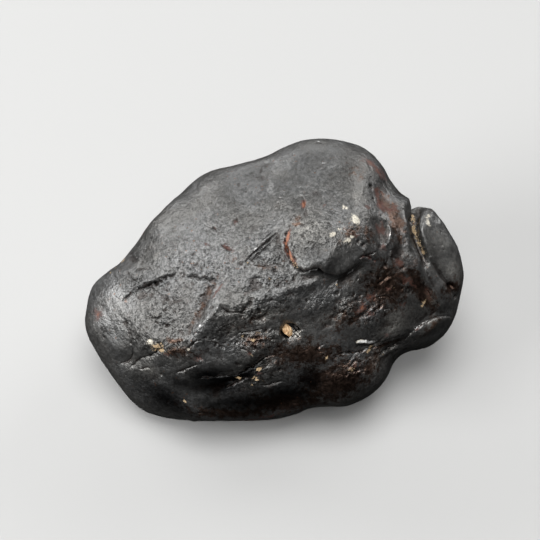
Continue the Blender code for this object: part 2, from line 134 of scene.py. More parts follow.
class Skin:
    """The stone's surface points, in millimetres from its middle, and the brushes that work on them."""

    def __init__(self, thing):
        self.thing = thing
        self.rng = np.random.default_rng(WANDER_SEED)
        self.cracks = []
        self.read()

    def read(self):
        """Takes the points and triangles from the mesh."""
        mesh = self.thing.data
        points = np.empty(len(mesh.vertices) * 3)
        mesh.vertices.foreach_get("co", points)
        self.points = points.reshape(-1, 3) / MM - MIDDLE
        mesh.calc_loop_triangles()
        triangles = np.empty(len(mesh.loop_triangles) * 3, np.int32)
        mesh.loop_triangles.foreach_get("vertices", triangles)
        self.triangles = triangles.reshape(-1, 3)
        self.measure()

    def write(self):
        """Gives the points back to the mesh, none of them below the ground."""
        mesh = self.thing.data
        points = (self.points + MIDDLE) * MM
        points[:, 2] = np.maximum(points[:, 2], 0)
        mesh.vertices.foreach_set("co", points.ravel())
        mesh.update()

    def measure(self):
        """Works out the outward direction at each point, after the points have moved."""
        a, b, c = (self.points[self.triangles[:, i]] for i in range(3))
        facing = np.cross(b - a, c - a)
        outward = np.zeros_like(self.points)
        for corner in range(3):
            for axis in range(3):
                outward[:, axis] += np.bincount(self.triangles[:, corner], facing[:, axis], len(outward))
        self.outward = unit(outward)
        seen = self.points @ SEEN.T
        self.seen_at = (seen[:, :2] - AIM) * (DISTANCE / (DISTANCE - seen[:, 2]))[:, None] + AIM
        self.farther = np.where(self.outward @ SEEN[2] > 0, 0, HIDDEN_FARTHER)
        self.ways = unit(self.points)

    def at(self, place):
        """The number of the point at a place."""
        if len(place) == 2:
            return np.argmin(np.hypot(*(self.seen_at - place).T) + self.farther)
        return np.argmax(self.ways @ place)

    def line(self, places, wander=0.0):
        """A smooth path over the stone through the places."""
        numbers = list(dict.fromkeys(self.at(place) for place in places))
        path = open_curve(self.points[numbers])
        if wander:
            drift = [drifting(len(path), 6, self.rng) for _ in range(3)]
            path = path + wander * np.stack(drift, 1)
        return path

    def beside(self, path, reach):
        """For the points near a path: their numbers, how far they are, on which side, and how far along."""
        low, high = path.min(0) - reach, path.max(0) + reach
        close = np.flatnonzero(((self.points > low) & (self.points < high)).all(1))
        rough = np.linalg.norm(self.points[close, None] - path[None, ::4], axis=2).min(1)
        close = close[rough < reach]
        gap = np.linalg.norm(self.points[close, None] - path[None], axis=2)
        nearest = gap.argmin(1)
        ahead = np.gradient(path, axis=0)[nearest]
        left = unit(np.cross(self.outward[close], ahead))
        side = ((self.points[close] - path[nearest]) * left).sum(1)
        return close, gap.min(1), side, left, nearest

    def fold(self, width, depth, rise, reach, places, wander=0.06, grime_and_shade=1.0):
        """A crack that runs out at its ends. The skin on its left rises, and leans over it."""
        path = self.line(places, wander)
        # Each crack is darkened later with this strength: grime, and painted shade in it.
        self.cracks.append((0.9 * width + 0.05, grime_and_shade, path))
        self.carve_fold(path, width, depth, rise, reach)

    def carve_fold(self, path, width, depth, rise, reach):
        """Cuts the crack, lifts the skin on its left within the reach, and leans the raised lip over it."""
        close, gap, side, left, nearest = self.beside(path, max(6 * width, 2.5 * reach if rise else 0))
        taper = run_out(nearest, path, 0.6)
        wide = width * (0.4 + 0.6 * taper) * (1 + 0.35 * drifting(len(path), 4, self.rng))[nearest]
        deep = depth * (1 + 0.6 * drifting(len(path), 4, self.rng))[nearest]
        high = rise * (1 + 0.4 * drifting(len(path), 12, self.rng))[nearest]
        cut = np.exp(-(((side + 0.3 * wide) / wide) ** 2)) * np.exp(-((gap / (2.5 * wide)) ** 4))
        lift = smooth_step((side + 0.5 * wide) / wide) * np.exp(-((np.maximum(side, 0) / reach) ** 1.5))
        lift -= 0.25 * smooth_step(-side / wide) * np.exp(-((side / reach) ** 2))
        lift *= np.exp(-((gap / (2 * reach)) ** 4))
        out = self.outward[close]
        self.points[close] += out * (taper * (high * lift - deep * cut))[:, None]
        over = taper * (0.4 * high + 0.25 * deep) * np.exp(-(((side - 0.6 * wide) / (1.2 * wide)) ** 2))
        self.points[close] -= left * (over * np.exp(-((gap / (2.5 * wide)) ** 4)))[:, None]

    def ridge(self, width, height, places, wander=0.05):
        """A raised line, or a groove where the height is below zero, that runs out at its ends."""
        path = self.line(places, wander)
        close, gap, _, _, nearest = self.beside(path, 3 * width)
        taper = run_out(nearest, path, 0.7)
        high = height * taper * np.exp(-((gap / width) ** 2))
        self.points[close] += self.outward[close] * high[:, None]

    def patch(self, place, wide, tall, turn=0):
        """The points of an oval about a place or point, and how far out they lie, with 1 at the edge."""
        number = self.at(place) if isinstance(place, tuple) else place
        middle, out = self.points[number], self.outward[number]
        across = unit(np.cross((0, 0, 1), out))
        along = np.cross(out, across)
        margin = 3 * max(wide, tall)
        close = np.flatnonzero((np.abs(self.points - middle) < margin).all(1))
        offset = self.points[close] - middle
        cos, sin = math.cos(math.radians(turn)), math.sin(math.radians(turn))
        x, y, z = offset @ across, offset @ along, offset @ out
        u, v = (x * cos + y * sin) / wide, (y * cos - x * sin) / tall
        return close, np.sqrt(u * u + v * v + (z / max(wide, tall)) ** 2)

    def dab(self, height, place, wide, tall, turn=0, power=2.0):
        """A swelling, or a hollow where the height is below zero. A higher power gives it steeper sides."""
        close, reach = self.patch(place, wide, tall, turn)
        self.points[close] += self.outward[close] * (height * np.exp(-(reach**power)))[:, None]

    def nick(self, number, length, angle, bend, width, depth):
        """A short curved crack that starts at a point."""
        out = self.outward[number]
        across = unit(np.cross((0, 0, 1), out))
        ahead = across * math.cos(angle) + np.cross(out, across) * math.sin(angle)
        way = np.linspace(0, length, max(4, int(length / SHORT_STEP)))[:, None]
        bow = np.cross(out, ahead) * bend * way * (length - way) / length
        path = self.points[number] + ahead * way + bow
        self.carve_fold(path, width, depth, 0.5 * depth, 3 * width)

    def paint(self, name, strokes, spots):
        """Lays a named patch on the skin, from strokes along paths and from oval spots."""
        layer = np.zeros(len(self.points))
        for width, strength, places in strokes:
            path = places if isinstance(places, np.ndarray) else self.line(places)
            close, gap, _, _, nearest = self.beside(path, 3 * width)
            taper = run_out(nearest, path, 0.4)
            layer[close] = np.maximum(layer[close], strength * taper * np.exp(-((gap / width) ** 2)))
        for strength, *oval in spots:
            close, reach = self.patch(*oval)
            layer[close] = np.maximum(layer[close], strength * np.exp(-(reach**1.6)))
        self.keep(name, layer)

    def keep(self, name, layer):
        """Keeps one value for each point under a name, for the finish to read."""
        attribute = self.thing.data.attributes.new(name, "FLOAT", "POINT")
        attribute.data.foreach_set("value", layer.astype(np.float32))

    def hollows(self, rounds, scale):
        """How far each point lies below the skin about it, in shares of the scale."""
        edges = np.empty(len(self.thing.data.edges) * 2, np.int32)
        self.thing.data.edges.foreach_get("vertices", edges)
        first, second = edges.reshape(-1, 2).T
        count = len(self.points)
        neighbours = np.bincount(first, minlength=count) + np.bincount(second, minlength=count)
        even = self.points.copy()
        for _ in range(rounds):
            for axis in range(3):
                from_second, from_first = even[second, axis], even[first, axis]
                total = np.bincount(first, from_second, count) + np.bincount(second, from_first, count)
                even[:, axis] = total / neighbours
        return np.clip(((even - self.points) * self.outward).sum(1) / scale, -1, 1)


def smooth_copy(node):
    """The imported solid's mesh as one evenly divided, rounded skin."""
    bpy.ops.object.select_all(action="DESELECT")
    thing = bpy.data.objects.new("meteorite_skin", node.data.copy())
    bpy.context.scene.collection.objects.link(thing)
    thing.select_set(True)
    bpy.context.view_layer.objects.active = thing
    bpy.ops.object.mode_set(mode="EDIT")
    bpy.ops.mesh.select_all(action="SELECT")
    bpy.ops.mesh.remove_doubles(threshold=MERGE * MM)
    bpy.ops.object.mode_set(mode="OBJECT")
    finish_with(thing, "REMESH", mode="VOXEL", voxel_size=VOXEL * MM)
    finish_with(thing, "SMOOTH", factor=0.5, iterations=4)
    finish_with(thing, "SUBSURF", levels=2, render_levels=2)
    return thing


def finish_with(thing, kind, **settings):
    """Adds a modifier and applies it."""
    modifier = thing.modifiers.new(kind.lower(), kind)
    for name, value in settings.items():
        setattr(modifier, name, value)
    bpy.ops.object.modifier_apply(modifier=modifier.name)


def cloudy_relief(size, **settings):
    """A texture of soft lumps of about that size."""
    texture = bpy.data.textures.new("relief", "CLOUDS")
    texture.noise_scale = size * MM
    for key, value in settings.items():
        setattr(texture, key, value)
    return texture


# Broad swellings and hollows: (height, place, half width, half height, turn). A turn is in degrees, and is
# left out where it is 0, here and in the tables below.
SWELLS = [
    (0.30, (-0.6, 2.6), 1.6, 1.2, 20),
    (0.25, (-2.4, 2.2), 1.0, 0.8),
    (0.30, (7.2, 6.6), 3.4, 3.2),
    (-0.25, (18.6, 5.4), 1.3, 1.0),
    (0.35, (-23.0, -8.4), 1.9, 1.9),
    (0.30, (23.2, -5.6), 2.2, 0.9, 22),
    (-0.30, (5.8, -13.2), 2.2, 1.8),
    (0.30, (10.5, -13.0), 2.6, 2.2),
    (0.25, (-17.0, 5.2), 2.0, 1.4, 40),
    (-0.22, (-20.5, 4.6), 2.0, 0.9, 50),
    (0.45, (5.0, 7.8), 1.9, 2.8),
    (-0.35, (1.3, 6.4), 0.8, 2.6),
    (0.40, (8.4, 4.4), 3.0, 1.4, 12),
    (-0.30, (10.6, 1.2), 2.6, 1.0, 15),
    (0.25, (-0.4, 4.8), 1.0, 0.8, 30),
    (0.25, (1.0, 2.0), 1.1, 0.7, 10),
    (0.22, (-4.2, 0.4), 1.3, 0.9, 20),
    (-0.20, (-2.6, 0.6), 1.0, 0.7),
    (0.25, (-16.4, -3.4), 1.6, 1.2),
    (-0.20, (-13.6, -1.6), 1.4, 1.0, 30),
    (0.20, (-18.6, -6.2), 1.4, 0.8, 20),
    (-0.25, (-21.4, -5.4), 1.6, 0.9, -30),
    (0.20, (12.6, -5.6), 1.6, 1.0),
    (-0.22, (16.6, -5.4), 1.4, 1.0, 20),
    (0.25, (18.4, -4.4), 1.2, 1.0),
    (0.32, (-4.8, -1.8), 1.3, 0.8, 15),
    (-0.28, (-3.2, -2.0), 0.8, 0.7),
    (0.32, (-1.7, -1.2), 1.1, 0.7, 10),
    (-0.28, (-0.2, -1.5), 0.7, 0.7),
    (0.30, (1.2, -0.6), 1.0, 0.7, 10),
    (-0.28, (2.5, -0.8), 0.7, 0.6),
    (0.28, (3.6, 0.2), 1.0, 0.6, 10),
    (0.25, (5.6, 0.8), 1.0, 0.5, 10),
    (-0.30, (-6.6, -3.4), 0.9, 0.6, 20),
    (0.22, (-4.2, -4.6), 1.4, 0.7, 10),
    (-0.22, (-1.6, -4.4), 1.1, 0.6, 10),
    (0.20, (6.4, -3.0), 1.5, 0.9),
    (-0.20, (8.6, -5.0), 1.3, 0.8, 20),
]

# Raised lines, and grooves where the height is below zero: (half width, height, path).
RIDGES = [
    (1.4, 0.25, [(-12.6, -7.6), (-7.8, -4.4), (-3.8, -2.4), (0.2, -1.2), (3.4, -0.2), (5.8, 0.6)]),
    (0.5, 0.26, [(-6.9, -0.4), (-7.5, -1.6), (-8.6, -3.7), (-10.6, -5.6), (-12.2, -7.6)]),
    (0.7, -0.24, [(-7.4, 2.4), (-8.5, 0.8), (-9.5, -1.0), (-10.4, -3.2), (-11.7, -5.4), (-12.6, -7.4)]),
    (0.55, -1.5, [
        (22.9, 3.2), (22.3, 4.7), (21.7, 6.2), (21.2, 7.8),
        (20.9, 9.4), (21.1, 10.9), (21.5, 12.0),
    ]),
    (0.50, -0.45, [(23.2, 4.4), (24.2, 3.2), (25.2, 1.8), (26.2, 0.4), (27.1, -1.2)]),
    (0.9, 0.35, [(19.2, 11.8), (19.6, 10.0), (20.6, 6.6), (21.6, 3.2), (23.0, 0.0), (24.6, -3.0)]),
    (0.10, 0.12, [(8.6, -0.1), (9.0, 0.4), (9.7, 1.3)]),
    (0.10, 0.12, [(10.8, 1.9), (11.3, 2.3), (12.0, 2.8)]),
    (0.25, 0.22, [(16.0, 10.6), (17.0, 9.6), (17.4, 8.2), (17.0, 6.8), (15.7, 5.6)]),
    (0.20, 0.34, [(12.2, -7.9), (12.9, -7.9), (13.6, -7.8), (14.4, -7.9), (15.4, -7.7)]),
    (0.30, 0.25, [(15.8, -10.2), (16.6, -9.5), (17.5, -8.9), (18.9, -8.7), (19.6, -8.3)]),
    (0.35, 0.20, [(-2.6, -12.4), (-1.3, -12.1), (0.0, -11.3), (1.4, -10.5)]),
    (0.25, 0.20, [(-3.4, -13.3), (-2.4, -13.4), (-1.5, -13.6)]),
    (0.30, 0.10, [(13.2, 15.6), (13.3, 14.6), (12.9, 13.4), (12.4, 12.2)]),
    (0.25, 0.12, [(-18.4, -0.9), (-17.2, -0.4), (-15.8, -0.6), (-14.6, -1.6)]),
]

# Cracks and steps: (half width, depth, rise, reach, path), and for some how far they wander and how dark
# their grime and painted shade is. The left side of the path is the high one.
FOLDS = [
    (0.14, 0.18, 0.04, 0.4, [(-22.2, -1.9), (-21.4, -1.2), (-20.4, -0.6)], 0.10, 0.5),
    (0.36, 0.50, 0.06, 0.6, [
        (-19.8, -0.2), (-18.8, 0.3), (-17.8, 0.75),
        (-16.8, 0.95), (-15.9, 1.3),
    ], 0.12, 0.75),
    (0.20, 0.32, 0.05, 0.5, [(-17.0, 1.3), (-16.1, 1.5), (-15.0, 1.9), (-13.8, 2.3)], 0.12, 0.6),
    (0.26, 0.40, 0.06, 0.5, [(-12.2, 1.6), (-11.4, 1.8), (-10.7, 1.5), (-10.2, 1.6)], 0.10, 0.7),
    (0.26, 0.42, 0.06, 0.5, [(-10.3, 1.8), (-9.7, 1.6), (-9.1, 1.35), (-8.5, 1.5)], 0.10, 0.8),
    (0.12, 0.20, 0.10, 0.4, [(-20.8, 2.5), (-19.8, 2.7), (-18.6, 3.0), (-17.4, 2.9), (-16.4, 3.2)]),
    (0.14, 0.22, 0.08, 0.4, [(-21.4, 2.6), (-20.9, 1.9), (-20.1, 1.3), (-19.3, 1.2)]),
    (0.10, 0.14, 0.06, 0.3, [(-18.3, 1.0), (-17.8, 0.2), (-16.9, -0.4), (-16.2, -1.3)]),
    (0.10, 0.14, 0.06, 0.3, [(-13.1, 0.9), (-12.4, 0.3), (-11.9, -0.3)]),
    (0.14, 0.25, 0.10, 0.4, [(-10.3, 8.8), (-9.9, 9.4), (-9.2, 9.2), (-8.5, 9.0), (-7.9, 8.4)]),
    (0.12, 0.16, 0.05, 0.4, [(-5.9, 10.4), (-5.4, 10.9), (-5.0, 10.3), (-5.2, 9.5), (-5.8, 9.5)]),
    (0.12, 0.22, 0.10, 0.5, [(-7.6, -2.3), (-7.0, -3.0), (-6.0, -3.4), (-4.8, -3.5), (-4.2, -3.3)]),
    (0.14, 0.28, 0.06, 0.4, [(-18.4, -4.4), (-17.6, -4.2), (-16.8, -4.3), (-16.2, -4.0)]),
    (0.16, 0.32, 0.20, 0.9, [
        (-20.7, -11.4), (-19.6, -10.4), (-18.6, -9.9), (-17.4, -9.4),
        (-16.4, -8.9), (-15.6, -9.1), (-15.1, -9.9),
    ]),
    (0.15, 0.30, 0.10, 0.6, [(-20.5, -8.6), (-20.4, -9.6), (-20.7, -10.4), (-21.3, -10.9), (-22.4, -11.1)]),
    (0.12, 0.22, 0.08, 0.5, [(-19.9, -11.4), (-19.2, -11.9), (-18.3, -11.6), (-17.5, -12.2)]),
    (0.12, 0.22, 0.10, 0.5, [(-12.5, -9.3), (-12.0, -8.3), (-11.1, -7.7), (-10.0, -7.6)]),
    (0.10, 0.16, 0.06, 0.4, [(-9.8, -7.7), (-8.4, -7.9), (-7.0, -8.8)]),
    (0.10, 0.18, 0.06, 0.3, [(-7.9, -9.1), (-7.7, -8.5), (-7.2, -8.6), (-7.0, -9.1)]),
    (0.10, 0.18, 0.06, 0.4, [(-7.4, -5.8), (-6.4, -5.3), (-5.2, -5.6)]),
    (0.14, 0.20, 0.08, 0.5, [(-5.0, -6.4), (-3.6, -6.3), (-2.4, -6.1), (-1.0, -5.9)]),
    (0.14, 0.26, 0.10, 0.5, [(-4.9, -8.7), (-3.9, -9.0), (-3.2, -9.5), (-2.8, -10.0)]),
    (0.10, 0.08, 0.04, 0.4, [(-4.4, -7.6), (-3.0, -7.2), (-1.8, -6.9), (-0.4, -6.8)]),
    (0.10, 0.08, 0.04, 0.3, [(-3.4, -8.2), (-2.2, -7.8), (-1.0, -7.7)]),
    (0.10, 0.05, 0.02, 0.3, [(-4.2, 16.4), (-3.2, 16.6), (-2.2, 16.4), (-1.0, 16.6)]),
    (0.20, 0.45, 0.10, 0.5, [
        (2.7, 9.5), (2.5, 8.6), (2.1, 7.6), (2.1, 6.4),
        (2.5, 5.2), (2.9, 4.2), (3.6, 3.2),
    ], 0.06, 0.35),
    (0.13, 0.30, 0.12, 0.6, [(3.6, 3.1), (3.3, 4.2), (2.9, 5.4), (2.7, 6.4), (2.6, 7.2)]),
    (0.30, 0.90, 0.30, 1.3, [
        (3.4, 3.6), (4.0, 3.0), (4.8, 2.75), (5.6, 2.9),
        (6.5, 3.1), (7.1, 3.0), (7.6, 2.6), (8.4, 2.3),
    ]),
    (0.22, 0.50, 0.26, 1.1, [
        (7.4, 2.6), (8.4, 2.3), (9.4, 2.1), (10.4, 2.35),
        (11.4, 2.9), (12.4, 3.6), (13.2, 4.4),
    ]),
    (0.18, 0.40, 0.10, 0.6, [(12.4, 3.5), (12.9, 4.5), (13.6, 4.9), (14.4, 4.7), (15.3, 4.0)]),
    (0.12, 0.28, 0.08, 0.4, [(13.3, 5.6), (14.0, 5.1), (14.8, 5.2), (15.4, 5.6)]),
    (0.14, 0.34, 0.12, 0.5, [
        (-4.2, 3.7), (-3.7, 4.2), (-2.9, 5.1), (-1.6, 6.3),
        (-0.4, 7.4), (0.7, 8.3), (1.7, 9.1),
    ]),
    (0.12, 0.30, 0.08, 0.4, [(-3.2, 4.0), (-2.4, 4.8), (-1.2, 5.9), (-0.1, 6.9), (1.0, 8.0)]),
    (0.10, 0.22, 0.08, 0.4, [(-2.0, 6.6), (-1.1, 7.4), (-0.2, 8.1), (0.9, 8.9)]),
    (0.12, 0.20, 0.10, 0.5, [(2.0, 3.3), (0.4, 3.5), (-1.0, 3.3), (-3.0, 3.5), (-3.7, 3.9)]),
    (0.12, 0.20, 0.06, 0.4, [(3.4, 13.2), (4.2, 13.7), (4.8, 13.2), (4.9, 12.2), (4.5, 11.2)]),
    (0.12, 0.20, 0.06, 0.4, [(4.0, 11.2), (3.2, 10.6), (2.6, 9.8)]),
    (0.14, 0.25, 0.08, 0.6, [(21.8, 1.6), (22.6, 0.4), (23.6, -1.0), (24.8, -2.7)]),
    (0.15, 0.38, 0.24, 1.0, [
        (26.4, -4.3), (25.7, -4.2), (24.4, -4.35), (22.7, -5.0),
        (21.2, -6.1), (20.2, -7.0), (19.4, -7.7),
    ]),
    (0.12, 0.22, 0.10, 0.6, [(16.2, -3.6), (16.6, -3.0), (17.4, -2.9), (18.0, -3.6), (18.3, -4.3)]),
    (0.10, 0.20, 0.08, 0.5, [(15.2, -1.4), (16.4, -1.1), (17.5, -1.3), (18.6, -2.2)]),
    (0.18, 0.42, 0.14, 0.7, [(9.7, -9.6), (10.4, -9.4), (12.3, -9.3), (13.2, -9.1), (14.1, -8.7)]),
    (0.14, 0.30, 0.10, 0.5, [(14.2, -8.9), (15.2, -8.5), (16.6, -8.2), (18.2, -7.6), (19.3, -7.3)]),
    (0.12, 0.25, 0.08, 0.4, [(15.6, -8.0), (17.0, -7.6), (18.4, -7.1), (19.8, -6.7)]),
    (0.12, 0.25, 0.08, 0.4, [(15.4, -9.6), (16.6, -9.0), (17.8, -8.3), (19.4, -8.0)]),
    (0.12, 0.20, 0.08, 0.4, [(7.6, -8.0), (7.3, -8.5), (6.9, -9.0), (7.5, -9.4), (8.0, -10.0)]),
    (0.18, 0.34, 0.12, 0.7, [(-14.2, -12.3), (-13.4, -12.1), (-12.3, -11.7), (-11.0, -11.1)]),
    (0.26, 0.50, 0.20, 0.9, [
        (-11.0, -13.2), (-9.4, -13.1), (-7.6, -12.9), (-5.6, -12.7),
        (-4.0, -11.9), (-2.6, -11.2), (-1.2, -10.2), (0.4, -9.6),
    ]),
    (0.20, 0.35, 0.10, 0.6, [(-6.8, -14.6), (-5.6, -14.0), (-4.6, -13.4), (-3.6, -13.0)]),
    (0.16, 0.30, 0.10, 0.6, [(1.6, -13.6), (0.6, -14.0), (-0.6, -14.4), (-1.8, -14.4)]),
    (0.14, 0.26, 0.10, 0.5, [(10.8, -11.6), (11.6, -12.1), (12.4, -12.2)]),
]

# Pits and small lumps: (height, place, half width, half height, turn), and the power where it isn't 2.
# A higher power gives steeper sides.
DABS = [
    (-0.35, (-15.3, -5.5), 0.35, 0.22, 30),
    (-0.25, (-17.0, -5.0), 0.35, 0.18, 10),
    (-0.28, (-6.5, 5.9), 0.62, 0.28, 0, 3),
    (-0.20, (-7.3, 6.3), 0.28, 0.18),
    (-0.26, (-11.7, 5.1), 0.28, 0.22),
    (-0.20, (-8.6, 9.0), 0.45, 0.22, -15),
    (-0.14, (-5.5, 10.1), 0.40, 0.45, 0, 3),
    (-0.30, (-10.9, -10.3), 0.50, 0.36, -20, 3),
    (-0.30, (13.5, 6.4), 0.35, 0.25),
    (-0.30, (12.7, 6.9), 0.30, 0.25),
    (-0.28, (14.6, 14.9), 0.28, 0.24),
    (-0.22, (14.9, 13.2), 0.24, 0.22),
    (-0.24, (20.1, -0.3), 0.62, 0.5, 0, 3),
    (0.20, (20.1, -0.3), 0.26, 0.22),
    (-0.45, (26.2, 0.4), 0.6, 0.32, -45),
    (-0.35, (27.0, -1.2), 0.4, 0.3, -45),
    (-1.10, (3.2, -5.75), 0.80, 0.50, -8, 4),
    (-0.70, (2.1, -6.3), 0.78, 0.82, 0, 4),
    (-0.40, (3.6, -6.75), 0.55, 0.38, -25, 3),
    (-0.30, (4.1, -6.1), 0.30, 0.25, 30, 3),
    (0.22, (1.1, -5.4), 0.35, 0.5),
    (0.20, (1.0, -6.9), 0.30, 0.40, 20),
    (0.20, (3.9, -5.2), 0.40, 0.25, -30),
    (0.14, (2.0, -7.5), 0.7, 0.3, 10),
    (-0.28, (13.3, -3.9), 0.40, 0.30, 0, 3),
    (0.14, (13.3, -3.9), 0.18, 0.14),
    (-0.20, (9.6, -0.7), 0.36, 0.30, 0, 3),
    (0.12, (9.6, -0.7), 0.16, 0.14),
    (-0.18, (15.9, 8.6), 0.75, 0.85, -20),
    (-0.22, (16.0, 6.0), 0.6, 0.5, 40),
    (0.10, (12.2, 10.2), 0.55, 0.42, 30),
    (0.08, (11.0, 7.2), 0.50, 0.32),
    (0.07, (9.3, 8.2), 0.40, 0.26),
    (0.06, (10.4, 12.1), 0.40, 0.20, 10),
    (-0.20, (6.9, 21.4), 0.40, 0.16, 10),
    (-0.16, (7.6, 18.4), 0.40, 0.14),
]

# The parts of the skin that are crinkled: (strength, place, half width, half height, turn).
CRINKLED = [
    (1.0, (-10.0, 3.5), 8.0, 3.2, 22),
    (0.9, (-14.5, -3.2), 6.5, 4.6, 15),
    (0.9, (-19.5, -6.6), 4.5, 2.2, 15),
    (1.0, (-1.2, 4.6), 4.2, 3.4, 25),
    (1.0, (0.0, 1.2), 4.4, 2.0, 15),
    (0.8, (-2.0, -3.0), 6.0, 2.0, 15),
    (0.7, (-7.0, -6.0), 3.4, 1.6, 20),
    (0.9, (-18.4, 1.0), 4.0, 1.6, 20),
    (0.6, (7.0, -2.0), 3.0, 1.6, 10),
    (1.0, (5.6, 8.6), 3.2, 4.4),
    (0.5, (10.6, 9.8), 3.2, 3.0),
    (0.4, (-8.0, 8.6), 8.0, 3.6, 25),
    (0.9, (11.0, -2.9), 1.8, 1.6),
    (0.9, (-2.6, -7.6), 3.0, 1.8, 10),
    (0.6, (14.4, -4.0), 2.2, 3.0),
    (0.7, (16.4, -8.6), 3.2, 1.6, 15),
    (0.6, (-1.6, -12.6), 3.4, 2.2, 20),
    (0.5, (12.0, -12.0), 2.6, 1.8),
]

# How crinkled the rest is, on the face, and behind it where less than TURNED_AWAY of the outward direction
# points at the camera. The relief takes the strength in even steps.
CRINKLED_FACE = 0.16
CRINKLED_BEHIND = 0.40
TURNED_AWAY = 0.1
CRINKLE_STEPS = 16

# The relief of the whole skin and of its crinkled parts: how wide and how high its forms are.
ROLLING_SIZE = 2.4
ROLLING_HEIGHT = 0.12
CRINKLE_SIZE = 0.55
CRINKLE_HEIGHT = 0.16

# The parts that are chipped: (how many chips, place, half width, half height).
CHIPPED = [
    (70, (-2.4, -7.6), 1.8, 0.9),
    (40, (-17.0, -8.6), 1.3, 0.7),
    (40, (11.0, -3.0), 1.0, 0.9),
    (26, (-0.5, 3.0), 2.2, 1.0),
    (50, (-1.5, -12.6), 1.8, 1.0),
    (30, (14.4, -3.2), 1.2, 1.0),
    (40, (16.6, -8.4), 1.8, 0.7),
    (16, (5.2, 8.6), 1.3, 2.2),
    (24, (-12.0, -0.5), 4.0, 2.2),
    (40, (-10.0, -7.6), 2.4, 0.7),
    (40, (-3.0, -2.6), 3.6, 1.0),
    (30, (12.6, -12.0), 1.6, 1.0),
    (30, (17.6, 1.4), 1.8, 2.0),
    (16, (-18.0, -5.0), 2.2, 1.4),
]

# How many small lumps, short cracks and pits lie scattered over the stone, and how lumps and chips slant.
LUMPS = 420
SHORT_CRACKS = 210
SMALL_PITS = 200
LUMP_SLANT = 22
CHIP_SLANT = 15


def crinkle_group(thing, skin):
    """The crinkled parts as a vertex group, which guides the relief."""
    layer = np.full(len(skin.points), CRINKLED_FACE)
    layer[skin.outward @ SEEN[2] < TURNED_AWAY] = CRINKLED_BEHIND
    for strength, *oval in CRINKLED:
        close, reach = skin.patch(*oval)
        layer[close] = np.maximum(layer[close], strength * np.exp(-(reach**2)))
    group = thing.vertex_groups.new(name="crinkled")
    steps = np.clip((layer * CRINKLE_STEPS).astype(int), 0, CRINKLE_STEPS)
    for step in np.unique(steps):
        group.add(np.flatnonzero(steps == step).tolist(), step / CRINKLE_STEPS, "REPLACE")


def scatter(skin):
    """Small random lumps, dents, cracks and pits all over, most of them along the stone, and the chips."""
    rng = np.random.default_rng(SCATTER_SEED)
    count = len(skin.points)
    for _ in range(LUMPS):
        wide = rng.uniform(0.4, 1.3)
        tall = wide * rng.uniform(0.3, 0.8)
        height = rng.choice((-1, 1)) * rng.uniform(0.03, 0.09)
        skin.dab(height, rng.integers(count), wide, tall, rng.normal(LUMP_SLANT, 30))
    for _ in range(SHORT_CRACKS):
        length = rng.uniform(0.4, 1.3)
        angle = rng.normal(0.35, 0.7)
        width = rng.uniform(0.08, 0.14)
        start = rng.integers(count)
        bend = rng.uniform(-1.6, 1.6)
        skin.nick(start, length, angle, bend, width, rng.uniform(0.02, 0.07))
    for _ in range(SMALL_PITS):
        wide = rng.uniform(0.10, 0.28)
        tall = wide * rng.uniform(0.5, 1.0)
        skin.dab(-rng.uniform(0.05, 0.14), rng.integers(count), wide, tall, rng.uniform(-40, 60), 2.5)
    for chips, place, wide, tall in CHIPPED:
        for right, up in rng.normal(0, 1, (chips, 2)) * (wide, tall) + place:
            size = rng.uniform(0.14, 0.50)
            height = rng.choice((-1.0, -0.6, 0.8)) * rng.uniform(0.25, 0.45) * size
            tall = size * rng.uniform(0.35, 0.8)
            skin.dab(height, (right, up), size, tall, rng.normal(CHIP_SLANT, 35), 2.5)


def carve(skin):
    """Works the relief into the skin, from the broad forms to the small ones."""
    for swell in SWELLS:
        skin.dab(*swell)
    skin.measure()
    for ridge in RIDGES:
        skin.ridge(*ridge)
    skin.measure()
    for fold in FOLDS:
        skin.fold(*fold)
    for dab in DABS:
        skin.dab(*dab)
    skin.measure()
    scatter(skin)
    skin.measure()
